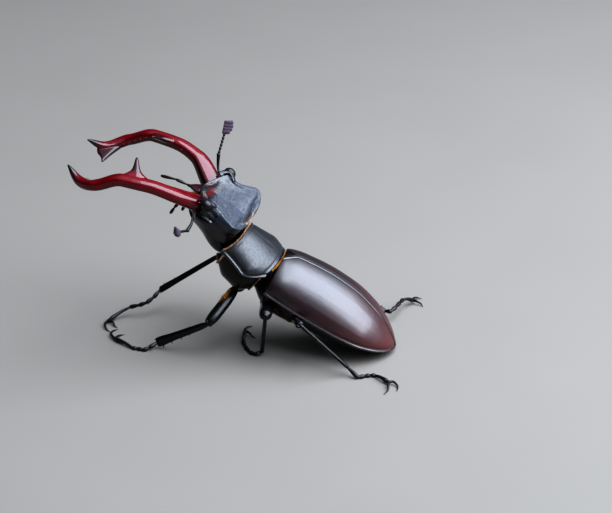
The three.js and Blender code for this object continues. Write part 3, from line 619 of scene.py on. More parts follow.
def elytron(name, side):
    """A wing case with beaded edges, a shoulder bump and three faint ribs."""
    rest = shares(150)
    t = ELYTRA_FRONT + (1 - ELYTRA_FRONT) * np.sin(rest * np.pi / 2) ** 0.9
    full = elytra_width(t) * ELYTRA_HALF_WIDTH
    high = elytra_rise(t) * ELYTRA_HEIGHT
    gap = np.minimum(suture_at(t), 0.3 * full)
    first = np.arcsin(gap / full)
    turn = first[:, None] + (np.pi / 2 - first[:, None]) * shares(72)
    out = full[:, None] * np.sin(turn)
    rise = high[:, None] * np.cos(turn) ** 0.9
    roll = shares(9)[1:]
    lip = np.minimum(0.5, 0.2 * full)[:, None]
    out = np.hstack([out, full[:, None] - 0.6 * lip * roll**2])
    rise = np.hstack([rise, -lip * roll])
    turn = np.pad(turn, ((0, 0), (0, len(roll))), "edge")
    grid = hind.at(-t[:, None] * ELYTRA_LENGTH, side * out, rise)
    from_suture = out - gap[:, None]
    # A bead and a groove along the margin and the suture, the shoulder, then the ribs.
    bead = 0.3 * bell(rise, 0.08, 0.2) - 0.14 * bell(rise, 0.62, 0.28)
    bead += 0.1 * bell(from_suture, 0.1, 0.12) - 0.08 * bell(from_suture, 0.42, 0.2)
    bead += 0.22 * bell(t[:, None], 0.09, 0.045) * bell(turn, np.radians(62), 0.25)
    for rib in ELYTRA_RIBS:
        bead += 0.02 * bell(turn, rib * np.pi / 2, 0.05) * bell(t[:, None], 0.5, 0.35)
    solid = plate(grid, side * hind.left + hind.up, ELYTRA_HALF_THICKNESS, bead)
    thing = piece(f"elytron_shell_{name}", [solid], ELYTRA, f"elytron_{name}")

    def rim(points):
        f, l, u = place_in(points, hind)
        return bell(u, 0, 0.42) + bell(np.abs(l) - suture_at(-f / ELYTRA_LENGTH), 0, 0.34)

    def red(points):
        f, _, u = place_in(points, hind)
        share = clamp(-f / ELYTRA_LENGTH)
        low = 1 - clamp(u / (elytra_rise(share) * ELYTRA_HEIGHT))
        return 0.08 + 0.85 * share**3.5 + 0.45 * low * share

    paint(thing, "rim", rim)
    paint(thing, "red", red)


def scutellum():
    s = shares(26)[:, None]
    v = np.linspace(-1, 1, 31)
    back = ELYTRA_FRONT * ELYTRA_LENGTH + s * SCUTELLUM_LENGTH
    half = SCUTELLUM_HALF_WIDTH * (1 - s**1.4) * 0.95 + 0.1
    top = elytra_rise(back / ELYTRA_LENGTH) * ELYTRA_HEIGHT
    grid = hind.at(-back, half * v, top + 0.12 - 0.2 * v**2)
    bead = 0.05 * bell(np.abs(v), 1, 0.16) * np.ones_like(s)
    solid = plate(grid, hind.up, SCUTELLUM_HALF_THICKNESS, bead)
    piece("scutellum_shell", [solid], BLACK, "scutellum")


# ---- hind body
trunk_depth = curve(
    (-1.4, -3.2), (1, -4.9), (4, -5.4), (9, -5.2), (16, -4.4), (23, -3.1), (28, -1.8), (31, -0.7)
)
VENTRITE_ENDS = (9.2, 13.6, 17.4, 21, 24.6, 30.6)


def trunk(backs, share=1.0, extra=0.0, roof=4.6):
    """Closed lower body between the elytra, `extra` lowering each ring."""
    backs, share, extra = np.broadcast_arrays(np.asarray(backs, float), share, extra)
    t = np.maximum(backs / ELYTRA_LENGTH, ELYTRA_FRONT)
    full = elytra_width(t) * ELYTRA_HALF_WIDTH
    wide = share * (np.maximum(full - 1.0, 0.4 * full) - 0.2)
    depth = trunk_depth(backs) - extra
    turn = np.linspace(0, np.pi, 61)
    out = rounded(np.cos(turn), 0.87)
    down = np.sin(turn) ** 0.87
    low = -0.75 * (1 - down) + depth[:, None] * down
    roof_out = np.linspace(-0.9, 0.9, 15)
    rise = elytra_rise(t) * ELYTRA_HEIGHT - 1.4
    top = np.minimum(rise[:, None] * np.sqrt(1 - roof_out**2), roof)
    lefts = wide[:, None] * np.concatenate([out, roof_out])
    return loft(hind.at(-backs[:, None], lefts, np.hstack([low, top])))


def underside():
    piece(
        "mesothorax_shell",
        [trunk(np.linspace(-1.8, 1.5, 16), np.linspace(0.55, 1, 16), roof=0.5)],
        BLACK, "mesothorax",
    )
    backs = np.linspace(1.6, 9.0, 40)
    keel = 0.25 * bell(backs, 5.5, 3.0)
    piece("metasternum_shell", [trunk(backs, extra=keel)], BLACK, "metasternum")
    rings, drops = [], []
    for start, end in zip(VENTRITE_ENDS, VENTRITE_ENDS[1:]):
        share = shares(14)
        rings.append(start + (end - start - 0.06) * share)
        drops.append(-0.3 * (1 - share) ** 1.4 + 0.05 * bell(share, 0.93, 0.05))
    piece(
        "abdomen_shell",
        [trunk(np.concatenate(rings), extra=np.concatenate(drops), roof=3.0)],
        BLACK, "abdomen",
    )


# ---- prothorax
pronotum_width = curve((0, 0.74), (0.2, 0.795), (0.45, 0.905), (0.66, 1), (0.82, 0.945), (1, 0.84))
PROSTERNUM_SIDE = -0.3
PROSTERNUM_ROOF = 3.1
prosternum_depth = curve((0.1, -5.7), (2.5, -7.4), (4.5, -7.3), (6.5, -7.2), (8.4, -5.3))


def pronotum_high(s):
    """Height of the middle line over the frame's origin."""
    return PRONOTUM_HEIGHT * (0.93 + 0.07 * np.sin(np.pi * clamp(s)) ** 0.8)


def margin_turn(s):
    """How far round the section the side margin lies: it climbs towards the hind angles."""
    return np.radians(90 - HIND_ANGLE_CLIMB * clamp((s - 0.66) / 0.34) ** 1.7)


def margin_rise(s):
    """Height of the side margin."""
    return pronotum_high(s) * clamp(np.cos(margin_turn(s))) ** 0.85


def pronotum_at(s, share):
    """Point of the pronotum: s from front to rear, share from the left margin (1) over the top."""
    turn = share * margin_turn(s)
    level = np.clip(np.cos(turn), 0, None)
    front = -1.7 + 2.1 * level**0.55 - 0.35 * level**8
    rear = PRONOTUM_LENGTH * (0.93 + 0.07 * level)
    back = front + (rear - front) * s
    wide = pronotum_width(s) * PRONOTUM_HALF_WIDTH
    return fore.at(PRONOTUM_LENGTH - back, wide * np.sin(turn), pronotum_high(s) * level**0.85)


def pronotum():
    s = shares(90)[:, None]
    share = np.sin(np.linspace(-1, 1, 161) * np.pi / 2)
    turn = share * margin_turn(s)
    grid = pronotum_at(s, share)
    grid[:, [0, -1]] -= 0.25 * fore.up
    front, rear = s * PRONOTUM_LENGTH, (1 - s) * PRONOTUM_LENGTH
    side = pronotum_high(s) * clamp(np.cos(turn)) ** 0.85 - margin_rise(s)
    # A bead and a groove along the front, rear and side margins, then the line down the middle.
    bead = 0.13 * bell(front, 0.12, 0.2) - 0.08 * bell(front, 0.55, 0.2)
    bead = bead + 0.13 * bell(rear, 0.12, 0.22) - 0.08 * bell(rear, 0.6, 0.22)
    bead = bead + 0.15 * bell(side, 0.05, 0.2) - 0.12 * bell(side, 0.6, 0.3)
    bead = bead - 0.05 * bell(turn, 0, 0.06) * bell(s, 0.5, 0.3)
    solid = plate(grid, fore.up, PRONOTUM_HALF_THICKNESS, bead)
    thing = piece("pronotum_shell", [solid], PRONOTUM, "pronotum")

    def rim(points):
        f, _, u = place_in(points, fore)
        edge = margin_rise(clamp(1 - f / PRONOTUM_LENGTH))
        return bell(u - edge, 0, 0.4) + bell(f, 0.15, 0.3)

    paint(thing, "rim", rim)


def prosternum():
    backs = np.linspace(-0.2, 8.5, 44)
    wide = pronotum_width(backs / PRONOTUM_LENGTH) * PRONOTUM_HALF_WIDTH * 0.95
    deep = prosternum_depth(backs)
    out, swing = section(72, 0.9)
    side = PROSTERNUM_SIDE + margin_rise(backs / PRONOTUM_LENGTH)[:, None]
    low = side + np.where(swing < 0, -swing * (deep[:, None] - side), swing * (PROSTERNUM_ROOF - side))
    rings = fore.at(PRONOTUM_LENGTH - backs[:, None], wide[:, None] * out, low)
    piece("prosternum_shell", [loft(rings)], BLACK, "prosternum")


# ---- head
# Each row: forward place, middle of the roof, then (out, up) of the crest, the cheek, the lower
# cheek and the edge of the throat, and the throat's middle.
HEAD_ROWS = (
    (6.6, -0.9, (1.2, -0.9), (1.6, -1.6), (1.5, -2.3), (1.0, -2.9), -3.0),
    (5.4, -0.5, (3.6, -0.2), (4.4, -1.3), (4.3, -3.2), (3.0, -4.8), -5.0),
    (4.4, -0.1, (6.3, 1.2), (7.0, -0.2), (6.8, -3.0), (4.5, -5.5), -5.8),
    (3.6, 0.1, (7.3, 1.7), (7.8, 0.0), (7.5, -3.2), (4.9, -5.9), -6.2),
    (2.2, 0.3, (6.5, 1.4), (7.9, -0.6), (7.8, -3.4), (5.0, -6.2), -6.5),
    (0.4, 0.45, (6.9, 1.35), (8.2, -1.2), (8.0, -3.8), (5.2, -6.7), -7.1),
    (-1.5, 0.55, (8.0, 1.5), (8.1, -1.6), (7.8, -4.4), (5.4, -7.5), -7.9),
    (-3.4, 0.35, (8.9, 1.8), (7.7, -1.8), (7.3, -4.8), (5.3, -8.1), -8.5),
    (-4.8, -0.1, (7.5, 1.3), (6.7, -1.8), (6.6, -5.0), (5.0, -8.2), -8.6),
    (-5.4, -1.0, (5.0, 0.9), (5.9, -2.4), (5.8, -5.1), (4.5, -7.8), -8.2),
    (-5.75, -1.4, (3.6, -1.5), (4.8, -3.0), (4.8, -5.0), (3.6, -7.2), -7.6),
    (-6.35, -1.9, (2.4, -2.1), (3.2, -3.2), (3.2, -4.8), (2.4, -6.4), -6.8),
)
CREST = [(row[0], *row[2]) for row in HEAD_ROWS]
LEDGE = ((5.3, 5.6, 0.9), (4.9, 6.5, 1.5), (4.0, 7.2, 1.9), (2.9, 6.8, 1.9), (1.8, 6.1, 1.5))
CHEEK = ((3.6, 7.2, -2.4), (1.6, 7.7, -2.0), (-0.6, 7.5, -2.3))
# The jaw's cup and the small bump behind the feeler: middle and radii.
HEAD_BUMPS = (((5.0, 4.9, -1.9), (1.5, 2.3, 1.9)), ((0.88, 8.2, -1.5), (0.7, 0.5, 0.65)))


def head_block():
    """The head's body, its rows rounded round the section and from front to rear."""
    knots = []
    for row in HEAD_ROWS:
        roof, crest, cheek, low, throat, bottom = row[1:]
        dip = (crest[0] * 0.62, (roof + crest[1]) / 2 - 0.15 + 0.75 * bell(row[0], -3.2, 1.5))
        shoulder = ((crest[0] + cheek[0]) / 2 + 0.2, (crest[1] + cheek[1]) / 2)
        half = [(0, roof), dip, crest, shoulder, cheek, low, throat, (0, bottom)]
        other = [(-out, up) for out, up in half[-2:0:-1]]
        knots.append(half + other)
    forward = [row[0] for row in HEAD_ROWS]
    lanes = np.array(knots, float).transpose(1, 0, 2)
    fine = np.stack([smooth_path(np.column_stack([forward, lane]), 89) for lane in lanes], 1)
    rings = np.array([smooth_path(np.vstack([ring, ring[:1]]), 85)[:-1] for ring in fine])
    return loft(head.at(*np.moveaxis(rings, -1, 0)))


def head_piece():
    """The block with its crests, the ledges before the eyes, cheeks, jaw cups and front rim."""
    solids = [head_block()]
    for _, side in SIDES:
        crest = [(f, l - 0.4, u - 0.02) for f, l, u in CREST[4:10]]
        for points, count, wide, thick, lean, sides, power in (
            ([*crest, (-5.7, 2.6, -0.6)], 70, 0.5, 0.22, 0.0, 20, 2.0),
            (LEDGE, 30, 0.6, 0.22, 0.3 * side, 24, 2.4),
            (CHEEK, 20, 0.9, 1.2, 0.0, 20, 2.0),
        ):
            path = smooth_path(points, count) * (1, side, 1)
            solids.append(sweep(head.at(*path.T), wide, thick, head.way(0, lean, 1), sides, power))
        for (f, l, u), radii in HEAD_BUMPS:
            solids.append(ball(head.at(f, side * l, u), radii, head))
    edge = smooth_path([(4.4, 6.3, 0.9), (5.4, 3.9, -0.1), (6.4, 1.6, -0.7), (6.6, 0, -0.8)], 40)
    edge = np.vstack([edge, (edge * (1, -1, 1))[::-1][1:]])
    solids.append(sweep(head.at(*edge.T), 0.3, 0.24, head.up, 16))
    thing = grown_piece("head_shell", solids, HEAD_SHELL, "head", HEAD_VOXEL, 5)

    # Where the disc's grey goes: on the top, more towards the back; partly matte grain, partly a painted sky
    # sheen. It also roughens the disc.
    def top(points):
        f, l, u = place_in(points, head)
        behind = clamp((3.5 - 0.4 * np.abs(l) - f) / 0.5)
        return clamp((u + 0.75) / 0.7) * clamp((f + 5.9) / 0.5) * (0.25 + 0.75 * behind)

    def rust(points):
        f, l, u = place_in(points, head)
        return bell(f, 4.6, 1.0) * bell(l, 0.6, 2.4) * (u > -1.5)

    paint(thing, "top", top)
    paint(thing, "rust", rust)


def eyes():
    for name, side in SIDES:
        f, l, u = EYE_PLACE
        centre = head.at(f, side * l, u - 0.2)
        radii = (EYE_RADIUS * 0.98, EYE_RADIUS * 0.88, EYE_RADIUS * 0.85)
        piece(f"eye_ball_{name}", [ball(centre, radii, head, 64, 40)], EYE, f"eye_{name}")


# Upper lip and chin plate: finish, rows of (forward, half-width, up), how many rings, half-thickness
# at both ends, sides and power of the section.
MOUTH = {
    "labrum": (
        MANDIBLE, ((6.6, 1.5, -1.4), (7.2, 1.6, -1.7), (8.0, 1.25, -2.05), (8.8, 0.5, -2.4)),
        24, (0.5, 0.28), 28, 2.4,
    ),
    "mentum": (
        BLACK, ((0.8, 2.1, -7.5), (2.6, 3.1, -7.15), (4.4, 3.3, -6.6), (5.8, 2.9, -5.7), (6.7, 2.1, -4.8)),
        30, (0.45, 0.45), 36, 2.6,
    ),
}


def mouth():
    for name, (finish, rows, count, ends, sides, power) in MOUTH.items():
        rows = smooth_path(rows, count)
        path = head.at(rows[:, 0], 0, rows[:, 2])
        solid = sweep(path, rows[:, 1], np.linspace(*ends, count), head.up, sides, power)
        thing = piece(f"{name}_shell", [solid], finish, name)
        if finish is MANDIBLE:
            paint(thing, "dark", lambda points: np.full(len(points), 0.85))


PALPS = {
    "palp_maxillary_left": ((6.9, 2.3, -4.0), (8.5, 3.6, -5.0), (8.7, 3.6, -6.9), (8.6, 3.0, -9.3)),
    "palp_maxillary_right": ((7.3, -2.3, -3.6), (9.4, -2.4, -4.3), (12.1, -2.6, -5.2), (15.2, -2.9, -7.1)),
    "palp_labial_left": ((6.9, 0.8, -5.4), (7.2, 0.9, -6.6), (7.0, 1.0, -8.1)),
    "palp_labial_right": ((6.9, -0.8, -5.4), (7.3, -0.9, -6.5), (7.6, -1.1, -7.9)),
}


def bead_chain(joints, narrow, broad, up, swell=0.75):
    """Segments of a feeler, palp or foot: each starts thin and swells towards its end."""
    solids = []
    for a, b in zip(joints[:-1], joints[1:]):
        t = np.linspace(0.03, 0.97, 12)
        size = narrow + (broad - narrow) * np.sin(clamp(t / swell) * np.pi / 2) ** 2
        size = size * (1 - 0.25 * clamp((t - swell) / (1 - swell)) ** 2)
        solids.append(sweep(a + (b - a) * t[:, None], size, size, up, 20))
    return solids


def palps():
    for name, joints in PALPS.items():
        solids = bead_chain([head.at(*j) for j in joints], 0.2, 0.36, head.left)
        piece(name + "_shell", solids, FOOT, name)


# Joints of each feeler: root, elbow, end of the thin stalk, end of the club; then the way its
# leaves point, their stretch, and their half-width as a share of the club's length.
FEELERS = {
    "left": (
        ((4.8, 8.2, -2.3), (3.6, 11.9, -4.0), (4.8, 13.8, -4.2), (6.0, 14.6, -3.6)),
        (-0.7, 0.15, -0.75), 1.15, 0.13,
    ),
    "right": (
        ((5.0, -7.9, -1.2), (8.2, -10, 2.0), (10.0, -12.6, 5.6), (11.2, -14, 7.6)),
        (-0.8, -0.45, 0.1), 1.0, 0.17,
    ),
}
STALK_BEADS = 6
# Leaves of the club: share of its length, and length.
LEAVES = ((0.12, 1.15), (0.38, 1.5), (0.64, 1.6), (0.9, 1.45))


def feelers():
    for name, (joints, leaves, stretch, share) in FEELERS.items():
        root, elbow, stalk, tip = (head.at(*j) for j in joints)
        lean = head.way(*leaves)
        bow = 0.1 * np.linalg.norm(elbow - root) * unit(np.cross(elbow - root, lean))
        path = smooth_path([root, (root + elbow) / 2 + bow, elbow], 30)
        size = np.interp(shares(30), [0, 0.08, 0.75, 1], [0.3, 0.22, 0.34, 0.42])
        piece(f"scape_shell_{name}", [sweep(path, size, size, lean)], BLACK, f"scape_{name}")
        beads = elbow + (stalk - elbow) * shares(STALK_BEADS + 1)[:, None]
        solids = bead_chain(beads, 0.16, 0.3, lean)
        piece(f"funicle_shell_{name}", solids, BLACK, f"funicle_{name}")
        along = unit(tip - stalk)
        broad = unit(np.cross(along, lean))
        solids = [sweep(stalk + (tip - stalk) * shares(12)[:, None], 0.28, 0.26, lean)]
        half = share * np.linalg.norm(tip - stalk)
        for place, length in LEAVES:
            length *= stretch
            foot = stalk + (tip - stalk) * place
            t = shares(16)
            path = foot + (length * t[:, None] - 0.35) * lean + 0.3 * t[:, None] ** 1.5 * along
            size = 0.34 + 0.24 * np.sin(clamp(t * 1.2) * np.pi / 2)
            solids.append(sweep(path, half * (1 + 0.25 * t), size, broad, 20, 2.3))
        piece(f"club_leaves_{name}", solids, CLUB, f"club_{name}")


# ---- mandibles
jaw_out = curve((0, 4.6), (0.18, 8.84), (0.36, 10.13), (0.54, 10.68), (0.72, 10.9), (0.87, 8.37), (1, 6.09))
jaw_up = curve((0, -0.6), (0.18, 2.39), (0.36, 3.41), (0.54, 3.25), (0.72, 0.28), (0.87, -1.71), (1, -0.06))
jaw_wide = curve(
    (0, 2.4), (0.1, 2.1), (0.25, 1.6), (0.5, 1.45), (0.7, 1.35), (0.84, 1.2), (0.93, 0.75), (1, 0.16)
)
jaw_thick = curve(
    (0, 1.7), (0.1, 1.5), (0.25, 1.3), (0.5, 1.25), (0.7, 1.15), (0.85, 1.0), (0.94, 0.65), (1, 0.14)
)
# The great inner tooth and the lower prong of the fork: share of the jaw's length, then how far
# the tip stands inward, forward and upward; half-sizes along and across from foot to tip, and the
# power of the section.
FINS = (
    (
        0.445, (5.4, 2.0, 2.9),
        curve(
            (0, 4.4), (0.2, 3.2), (0.34, 1.9), (0.46, 1.15),
            (0.65, 0.7), (0.85, 0.46), (0.96, 0.28), (1, 0.12),
        ),
        curve((0, 1.0), (0.3, 0.75), (0.5, 0.6), (0.85, 0.36), (1, 0.1)), 2,
    ),
    (
        0.83, (5.0, 0.4, -1.9),
        curve((0, 3.6), (0.25, 2.9), (0.5, 1.75), (0.7, 0.95), (0.88, 0.45), (1, 0.12)),
        curve((0, 0.75), (0.4, 0.6), (0.8, 0.4), (1, 0.1)), 3.6,
    ),
)
# Small teeth of the inner edge: share of the jaw's length, inward reach, upward, radius.
JAW_TEETH = (
    (0.3, 1.95, 0.3, 0.42),
    (0.36, 1.75, 0.3, 0.36),
    (0.55, 1.85, 0.3, 0.4),
    (0.59, 2.0, 0.2, 0.42),
    (0.63, 2.1, 0.1, 0.46),
    (0.67, 2.1, 0.0, 0.46),
    (0.71, 2.0, -0.1, 0.42),
    (0.75, 1.85, -0.2, 0.38),
)


def jaw_at(t, side):
    """Middle of the blade at a share of its length."""
    return jaws.at(t * JAW_REACH, side * jaw_out(t), jaw_up(t))


def horn(foot, tip, radius, up, hook, slim, sides=22):
    """A tooth or spine with hollowed flanks, bent by `hook` towards `up`; `slim` 1 is a plain cone."""
    t = shares(18)
    size = radius * (slim * (1 - t) + (1 - slim) * (1 - t) ** 3) + 0.03 * radius
    bow = hook * np.sin(np.pi * t) * np.linalg.norm(tip - foot)
    path = foot + (tip - foot) * t[:, None] + bow[:, None] * np.asarray(up)
    return sweep(path, size, size, up, sides)


def fin(foot, reach, along, spread, thick, power):
    """A flat tooth standing on the blade, its sections all lying along the blade."""
    t = shares(48)
    face = unit(np.cross(reach, along))
    c, s = section(36, 2 / power)
    wide = (spread(t)[:, None] * c)[..., None] * along
    deep = (thick(t)[:, None] * s)[..., None] * face
    return loft((foot + reach * t[:, None])[:, None] + wide + deep)


def mandibles():
    for name, side in SIDES:
        t = np.linspace(0, 0.995, 110)
        solids = [sweep(jaw_at(t, side), jaw_wide(t), jaw_thick(t), jaws.up, 48, 2.7)]
        for place, (inward, forward, up), spread, thick, power in FINS:
            reach = forward * jaws.forward + up * jaws.up - side * inward * jaws.left
            along = unit(jaw_at(place + 0.04, side) - jaw_at(place - 0.04, side))
            solids.append(fin(jaw_at(place, side), reach, along, spread, thick, power))
        for place, inward, up, radius in JAW_TEETH:
            foot = jaw_at(place, side)
            tip = foot - side * (inward + 0.2) * jaws.left + up * jaws.up
            solids.append(horn(foot, tip, radius * 1.2, jaws.forward, 0, 0.75))
        node = f"mandible_{name}"
        thing = grown_piece(f"mandible_shell_{name}", solids, MANDIBLE, node, JAW_VOXEL, 5)

        def dark(points):
            f, l, u = place_in(points, jaws)
            t = clamp(f / JAW_REACH)
            inward = jaw_out(t) - side * l
            tip = clamp((t - 0.84) / 0.12)
            inner = clamp((inward - 0.75 * jaw_wide(t)) / 1.0) * 0.85
            below = clamp((jaw_up(t) - u - 0.55 * jaw_thick(t)) / 0.5) * 0.8
            base = 0.75 * bell(t, -0.02, 0.06)
            return np.maximum.reduce([tip, inner, below, base])

        paint(thing, "dark", dark)


# ---- legs
# Hips in the frame of the body part that carries them, and the radii of the hip joint.
HIPS = {
    "front": (fore, (2.9, 2.7, -6.1), (1.6, 1.8, 1.6)),
    "middle": (hind, (-2.5, 2.6, -4.5), (1.5, 1.75, 1.45)),
    "hind": (hind, (-8.6, 2.6, -4.6), (1.4, 2.0, 1.35)),
}
# Half-sizes of the femur, then of the tibia at the knee, at its end and across its flat.
SEGMENTS = {
    "front": ((1.5, 1.15), 0.7, 1.1, 0.45),
    "middle": ((1.3, 1.45), 0.62, 0.74, 0.45),
    "hind": ((1.1, 0.75), 0.5, 0.66, 0.42),
}
# Spines of the tibia's outer edge: share of its length, length, radius.
SPINES = {
    "front": (
        (0.22, 0.25, 0.2), (0.38, 0.5, 0.3), (0.55, 0.65, 0.34), (0.74, 0.75, 0.36), (0.92, 0.8, 0.42),
    ),
    "middle": ((0.55, 0.8, 0.24), (0.93, 0.8, 0.25)),
    "hind": ((0.38, 0.7, 0.22), (0.62, 0.85, 0.24), (0.93, 0.85, 0.25)),
}
# Knee, ankle, ends of the five foot segments, then three points along each claw.
LEGS = {
    "front_left": (
        (11.2, -11.2, 8.5), (8.6, -23.4, 1.5),
        ((9.9, -24.9, 0.75), (10.5, -26.1, 0.3), (10.1, -27.5, 0.3), (10.0, -28.7, 0.3), (7.1, -33.2, 0.5)),
        ((5.0, -35.1, 0.6), (2.8, -35.3, 0.3), (1.4, -34.5, 0.1)),
        ((5.8, -33.5, 0.55), (4.6, -33.2, 0.3), (3.6, -32.4, 0.1)),
    ),
    "front_right": (
        (-12.7, -14.1, 13.8), (-10.0, -27.5, 5.2),
        ((-8.1, -28.5, 4.2), (-6.6, -29.8, 3.4), (-6.4, -31.5, 2.7), (-6.4, -33.7, 2.0), (-2.1, -37.4, 0.5)),
        ((0.1, -37.9, 0.6), (2.0, -37.1, 0.3), (3.1, -35.8, 0.1)),
        ((-0.9, -36.4, 0.6), (0.1, -35.7, 0.3), (0.8, -34.8, 0.1)),
    ),
    "middle_left": (
        (13.0, 2.0, 12.5), (7.4, 0, 1.0),
        ((8.2, -1.2, 0.4), (7.2, -2.8, 0.3), (4.9, -4.3, 0.3), (2.4, -5.4, 0.4), (-1.0, -5.8, 0.7)),
        ((-3.0, -6.0, 0.8), (-4.9, -5.8, 0.3), (-5.7, -4.9, 0.1)),
        ((-1.4, -4.9, 0.7), (-0.6, -4.0, 0.3), (-0.1, -3.0, 0.1)),
    ),
    "middle_right": (
        (-12.5, 2.6, 12.3), (-17.0, 6.2, 1.2),
        ((-17.7, 7.6, 0.4), (-18.3, 8.9, 0.3), (-18.8, 10.1, 0.3), (-19.3, 11.2, 0.35), (-20.9, 13.5, 0.7)),
        ((-21.9, 14.2, 0.8), (-22.9, 14.3, 0.3), (-23.7, 13.8, 0.1)),
        ((-20.9, 14.7, 0.7), (-20.9, 15.9, 0.3), (-20.4, 16.9, 0.1)),
    ),
    "hind_left": (
        (14.6, 9.8, 12.0), (12.9, 19.9, 1.9),
        ((14.4, 22.4, 0.5), (13.5, 23.6, 0.3), (12.9, 24.7, 0.3), (12.7, 25.9, 0.3), (15.3, 28.9, 0.6)),
        ((15.4, 30.3, 0.7), (16.5, 31.4, 0.3), (18.4, 31.5, 0.1)),
        ((16.9, 29.4, 0.65), (18.5, 29.6, 0.3), (20.3, 29.0, 0.1)),
    ),
    "hind_right": (
        (-12.3, 12.0, 9.6), (-14.5, 23.9, 2.3),
        ((-13.9, 25.4, 2.6), (-15.8, 26.2, 2.8), (-18.5, 26.8, 2.7), (-20.8, 27.2, 2.4), (-23.8, 29.0, 1.0)),
        ((-23.7, 30.1, 0.85), (-23.5, 31.1, 0.45), (-22.6, 31.7, 0.1)),
        ((-25.3, 29.2, 0.85), (-26.5, 29.8, 0.45), (-26.7, 30.9, 0.1)),
    ),
}
# The way the toothed edge of a tibia faces, where that is not straight away from the hip.
EDGES = {"front_left": (0.3, 0.46, -0.82)}
femur_shape = curve((0, 0.55), (0.08, 0.72), (0.35, 0.97), (0.75, 1), (0.93, 0.86), (1, 0.55))
tibia_swell = curve((0, 0), (0.3, 0.25), (0.7, 0.55), (0.92, 1), (1, 0.9))


def hip_and_knee(name):
    """Where a leg leaves the body, and its knee."""
    row, hand = name.split("_")
    body, (f, l, u), _ = HIPS[row]
    return body.at(f, l if hand == "left" else -l, u), np.array(LEGS[name][0], float)


def femur(name, row, hip, bend, plane):
    """Thigh with its trochanter and the two lobes that hold the knee."""
    wide, thick = SEGMENTS[row][0]
    body = HIPS[row][0]
    way = unit(bend - hip)
    reach = np.linalg.norm(bend - hip)
    t = shares(46)
    path = hip + way * (1.35 + (reach - 1.35 - 0.1) * t)[:, None]
    thigh = sweep(path, wide * femur_shape(t), thick * femur_shape(t), plane, 32, 2.2)
    inner = unit(np.cross(plane, way))
    solids = [thigh, ball(hip + way * 1.9 + 0.35 * inner, (0.95, 0.95, 0.85), body, 24, 16)]
    for k in (-1, 1):
        solids.append(ball(bend - way * 0.35 + k * plane * 0.42, (0.62, 0.62, 0.42), body, 20, 14))
    piece(f"femur_shell_{name}", solids, BLACK, f"femur_{name}")


def tibia(name, row, hip, bend, end):
    """Shin with the spines of its outer edge and the two spurs at its end."""
    _, knee, apex, flat = SEGMENTS[row]
    down = unit(end - bend)
    outward = np.array(EDGES.get(name, bend - hip), float)
    outward = unit(outward - down * (outward @ down))
    face = unit(np.cross(outward, down))
    reach = np.linalg.norm(end - bend) - 0.4
    t = shares(54)
    path = bend + down * (0.25 + reach * t)[:, None]
    wide = knee * (0.75 + 0.25 * clamp(t / 0.1)) + (apex - knee) * tibia_swell(t)
    solids = [sweep(path, wide, 0.42 + (flat - 0.42) * t, face, 28, 2.2)]
    for place, length, radius in SPINES[row]:
        root = bend + down * (0.25 + reach * place)
        half = np.interp(place, t, wide)
        base = root + outward * half * 0.55
        tip = root + outward * (half + length) + down * 0.55 * length
        solids.append(horn(base, tip, radius, down, -0.1, 0.5, 16))
    for k, length in ((1, 1.2), (-1, 0.9)):
        base = end - down * 0.35 - outward * apex * 0.55 + k * face * 0.22
        tip = base + down * length * 0.9 - outward * length * 0.45 + k * face * 0.2
        solids.append(horn(base, tip, 0.17, down, 0.1, 0.75, 12))
    grown_piece(f"tibia_shell_{name}", solids, BLACK, f"tibia_{name}", TIBIA_VOXEL, 3)


def foot(name, body, joints, claws):
    """Four beads and the long last segment, then the claws on their own small ball."""
    up = np.array([0, 0, 1])
    solids = bead_chain(joints[:5], 0.3, 0.5, up, 0.8)
    t = np.linspace(0.02, 1, 24)
    size = np.interp(t, [0, 0.2, 0.6, 0.9, 1], [0.28, 0.32, 0.38, 0.5, 0.42])
    bow = 0.25 * np.sin(np.pi * t)[:, None] * up
    path = joints[4] + (joints[5] - joints[4]) * t[:, None] + bow
    solids.append(sweep(path, size, size, up, 20))
    piece(f"tarsus_shell_{name}", solids, FOOT, f"tarsus_{name}")

    solids = []
    last = unit(joints[5] - joints[4])
    for claw in claws:
        path = smooth_path([joints[5] - 0.1 * last, joints[5] + 0.55 * last, *claw], 32)
        size = np.interp(shares(32), [0, 0.25, 0.7, 1], [0.36, 0.33, 0.21, 0.04])
        solids.append(sweep(path, size, size, up, 18))
    solids.append(ball(joints[5] + 0.2 * last, (0.33, 0.33, 0.3), body, 18, 12))
    piece(f"claw_shell_{name}", solids, FOOT, f"claws_{name}")


def leg(name):
    row = name.split("_")[0]
    body, _, radii = HIPS[row]
    hip, bend = hip_and_knee(name)
    joints = [np.array(p, float) for p in (LEGS[name][1], *LEGS[name][2])]
    end = joints[0]
    piece(f"coxa_shell_{name}", [ball(hip, radii, body)], BLACK, f"coxa_{name}")
    femur(name, row, hip, bend, unit(np.cross(bend - hip, end - bend)))
    tibia(name, row, hip, bend, end)
    foot(name, body, joints, LEGS[name][3:])


# ---- hair
def rooted_on(name, count, keep):
    """Points strewn over a piece where `keep` (0 to 1, of points in mm) says, with their normals."""
    a, b, c = triangles_of(bpy.data.objects[name].data) / MM - CENTRING
    face = np.cross(b - a, c - a)
    weight = np.linalg.norm(face, axis=1) * keep((a + b + c) / 3, unit(face))
    pick = rng.choice(len(a), count, p=weight / weight.sum())
    u, v = rng.uniform(0, 1, (2, count, 1))
    fold = u + v > 1
    u, v = np.where(fold, 1 - u, u), np.where(fold, 1 - v, v)
    return a[pick] + u * (b - a)[pick] + v * (c - a)[pick], unit(face)[pick]


def wrap(points, body, back, length):
    """Where points lie on the skin slit along its underside and rolled flat round its long axis."""
    f, l, u = place_in(points, body)
    return np.stack([np.arctan2(l, u) / (2 * np.pi) + 0.5, (f - back) / length], -1)


def either_hand(count):
    return np.where(rng.uniform(0, 1, count) < 0.5, 1, -1)


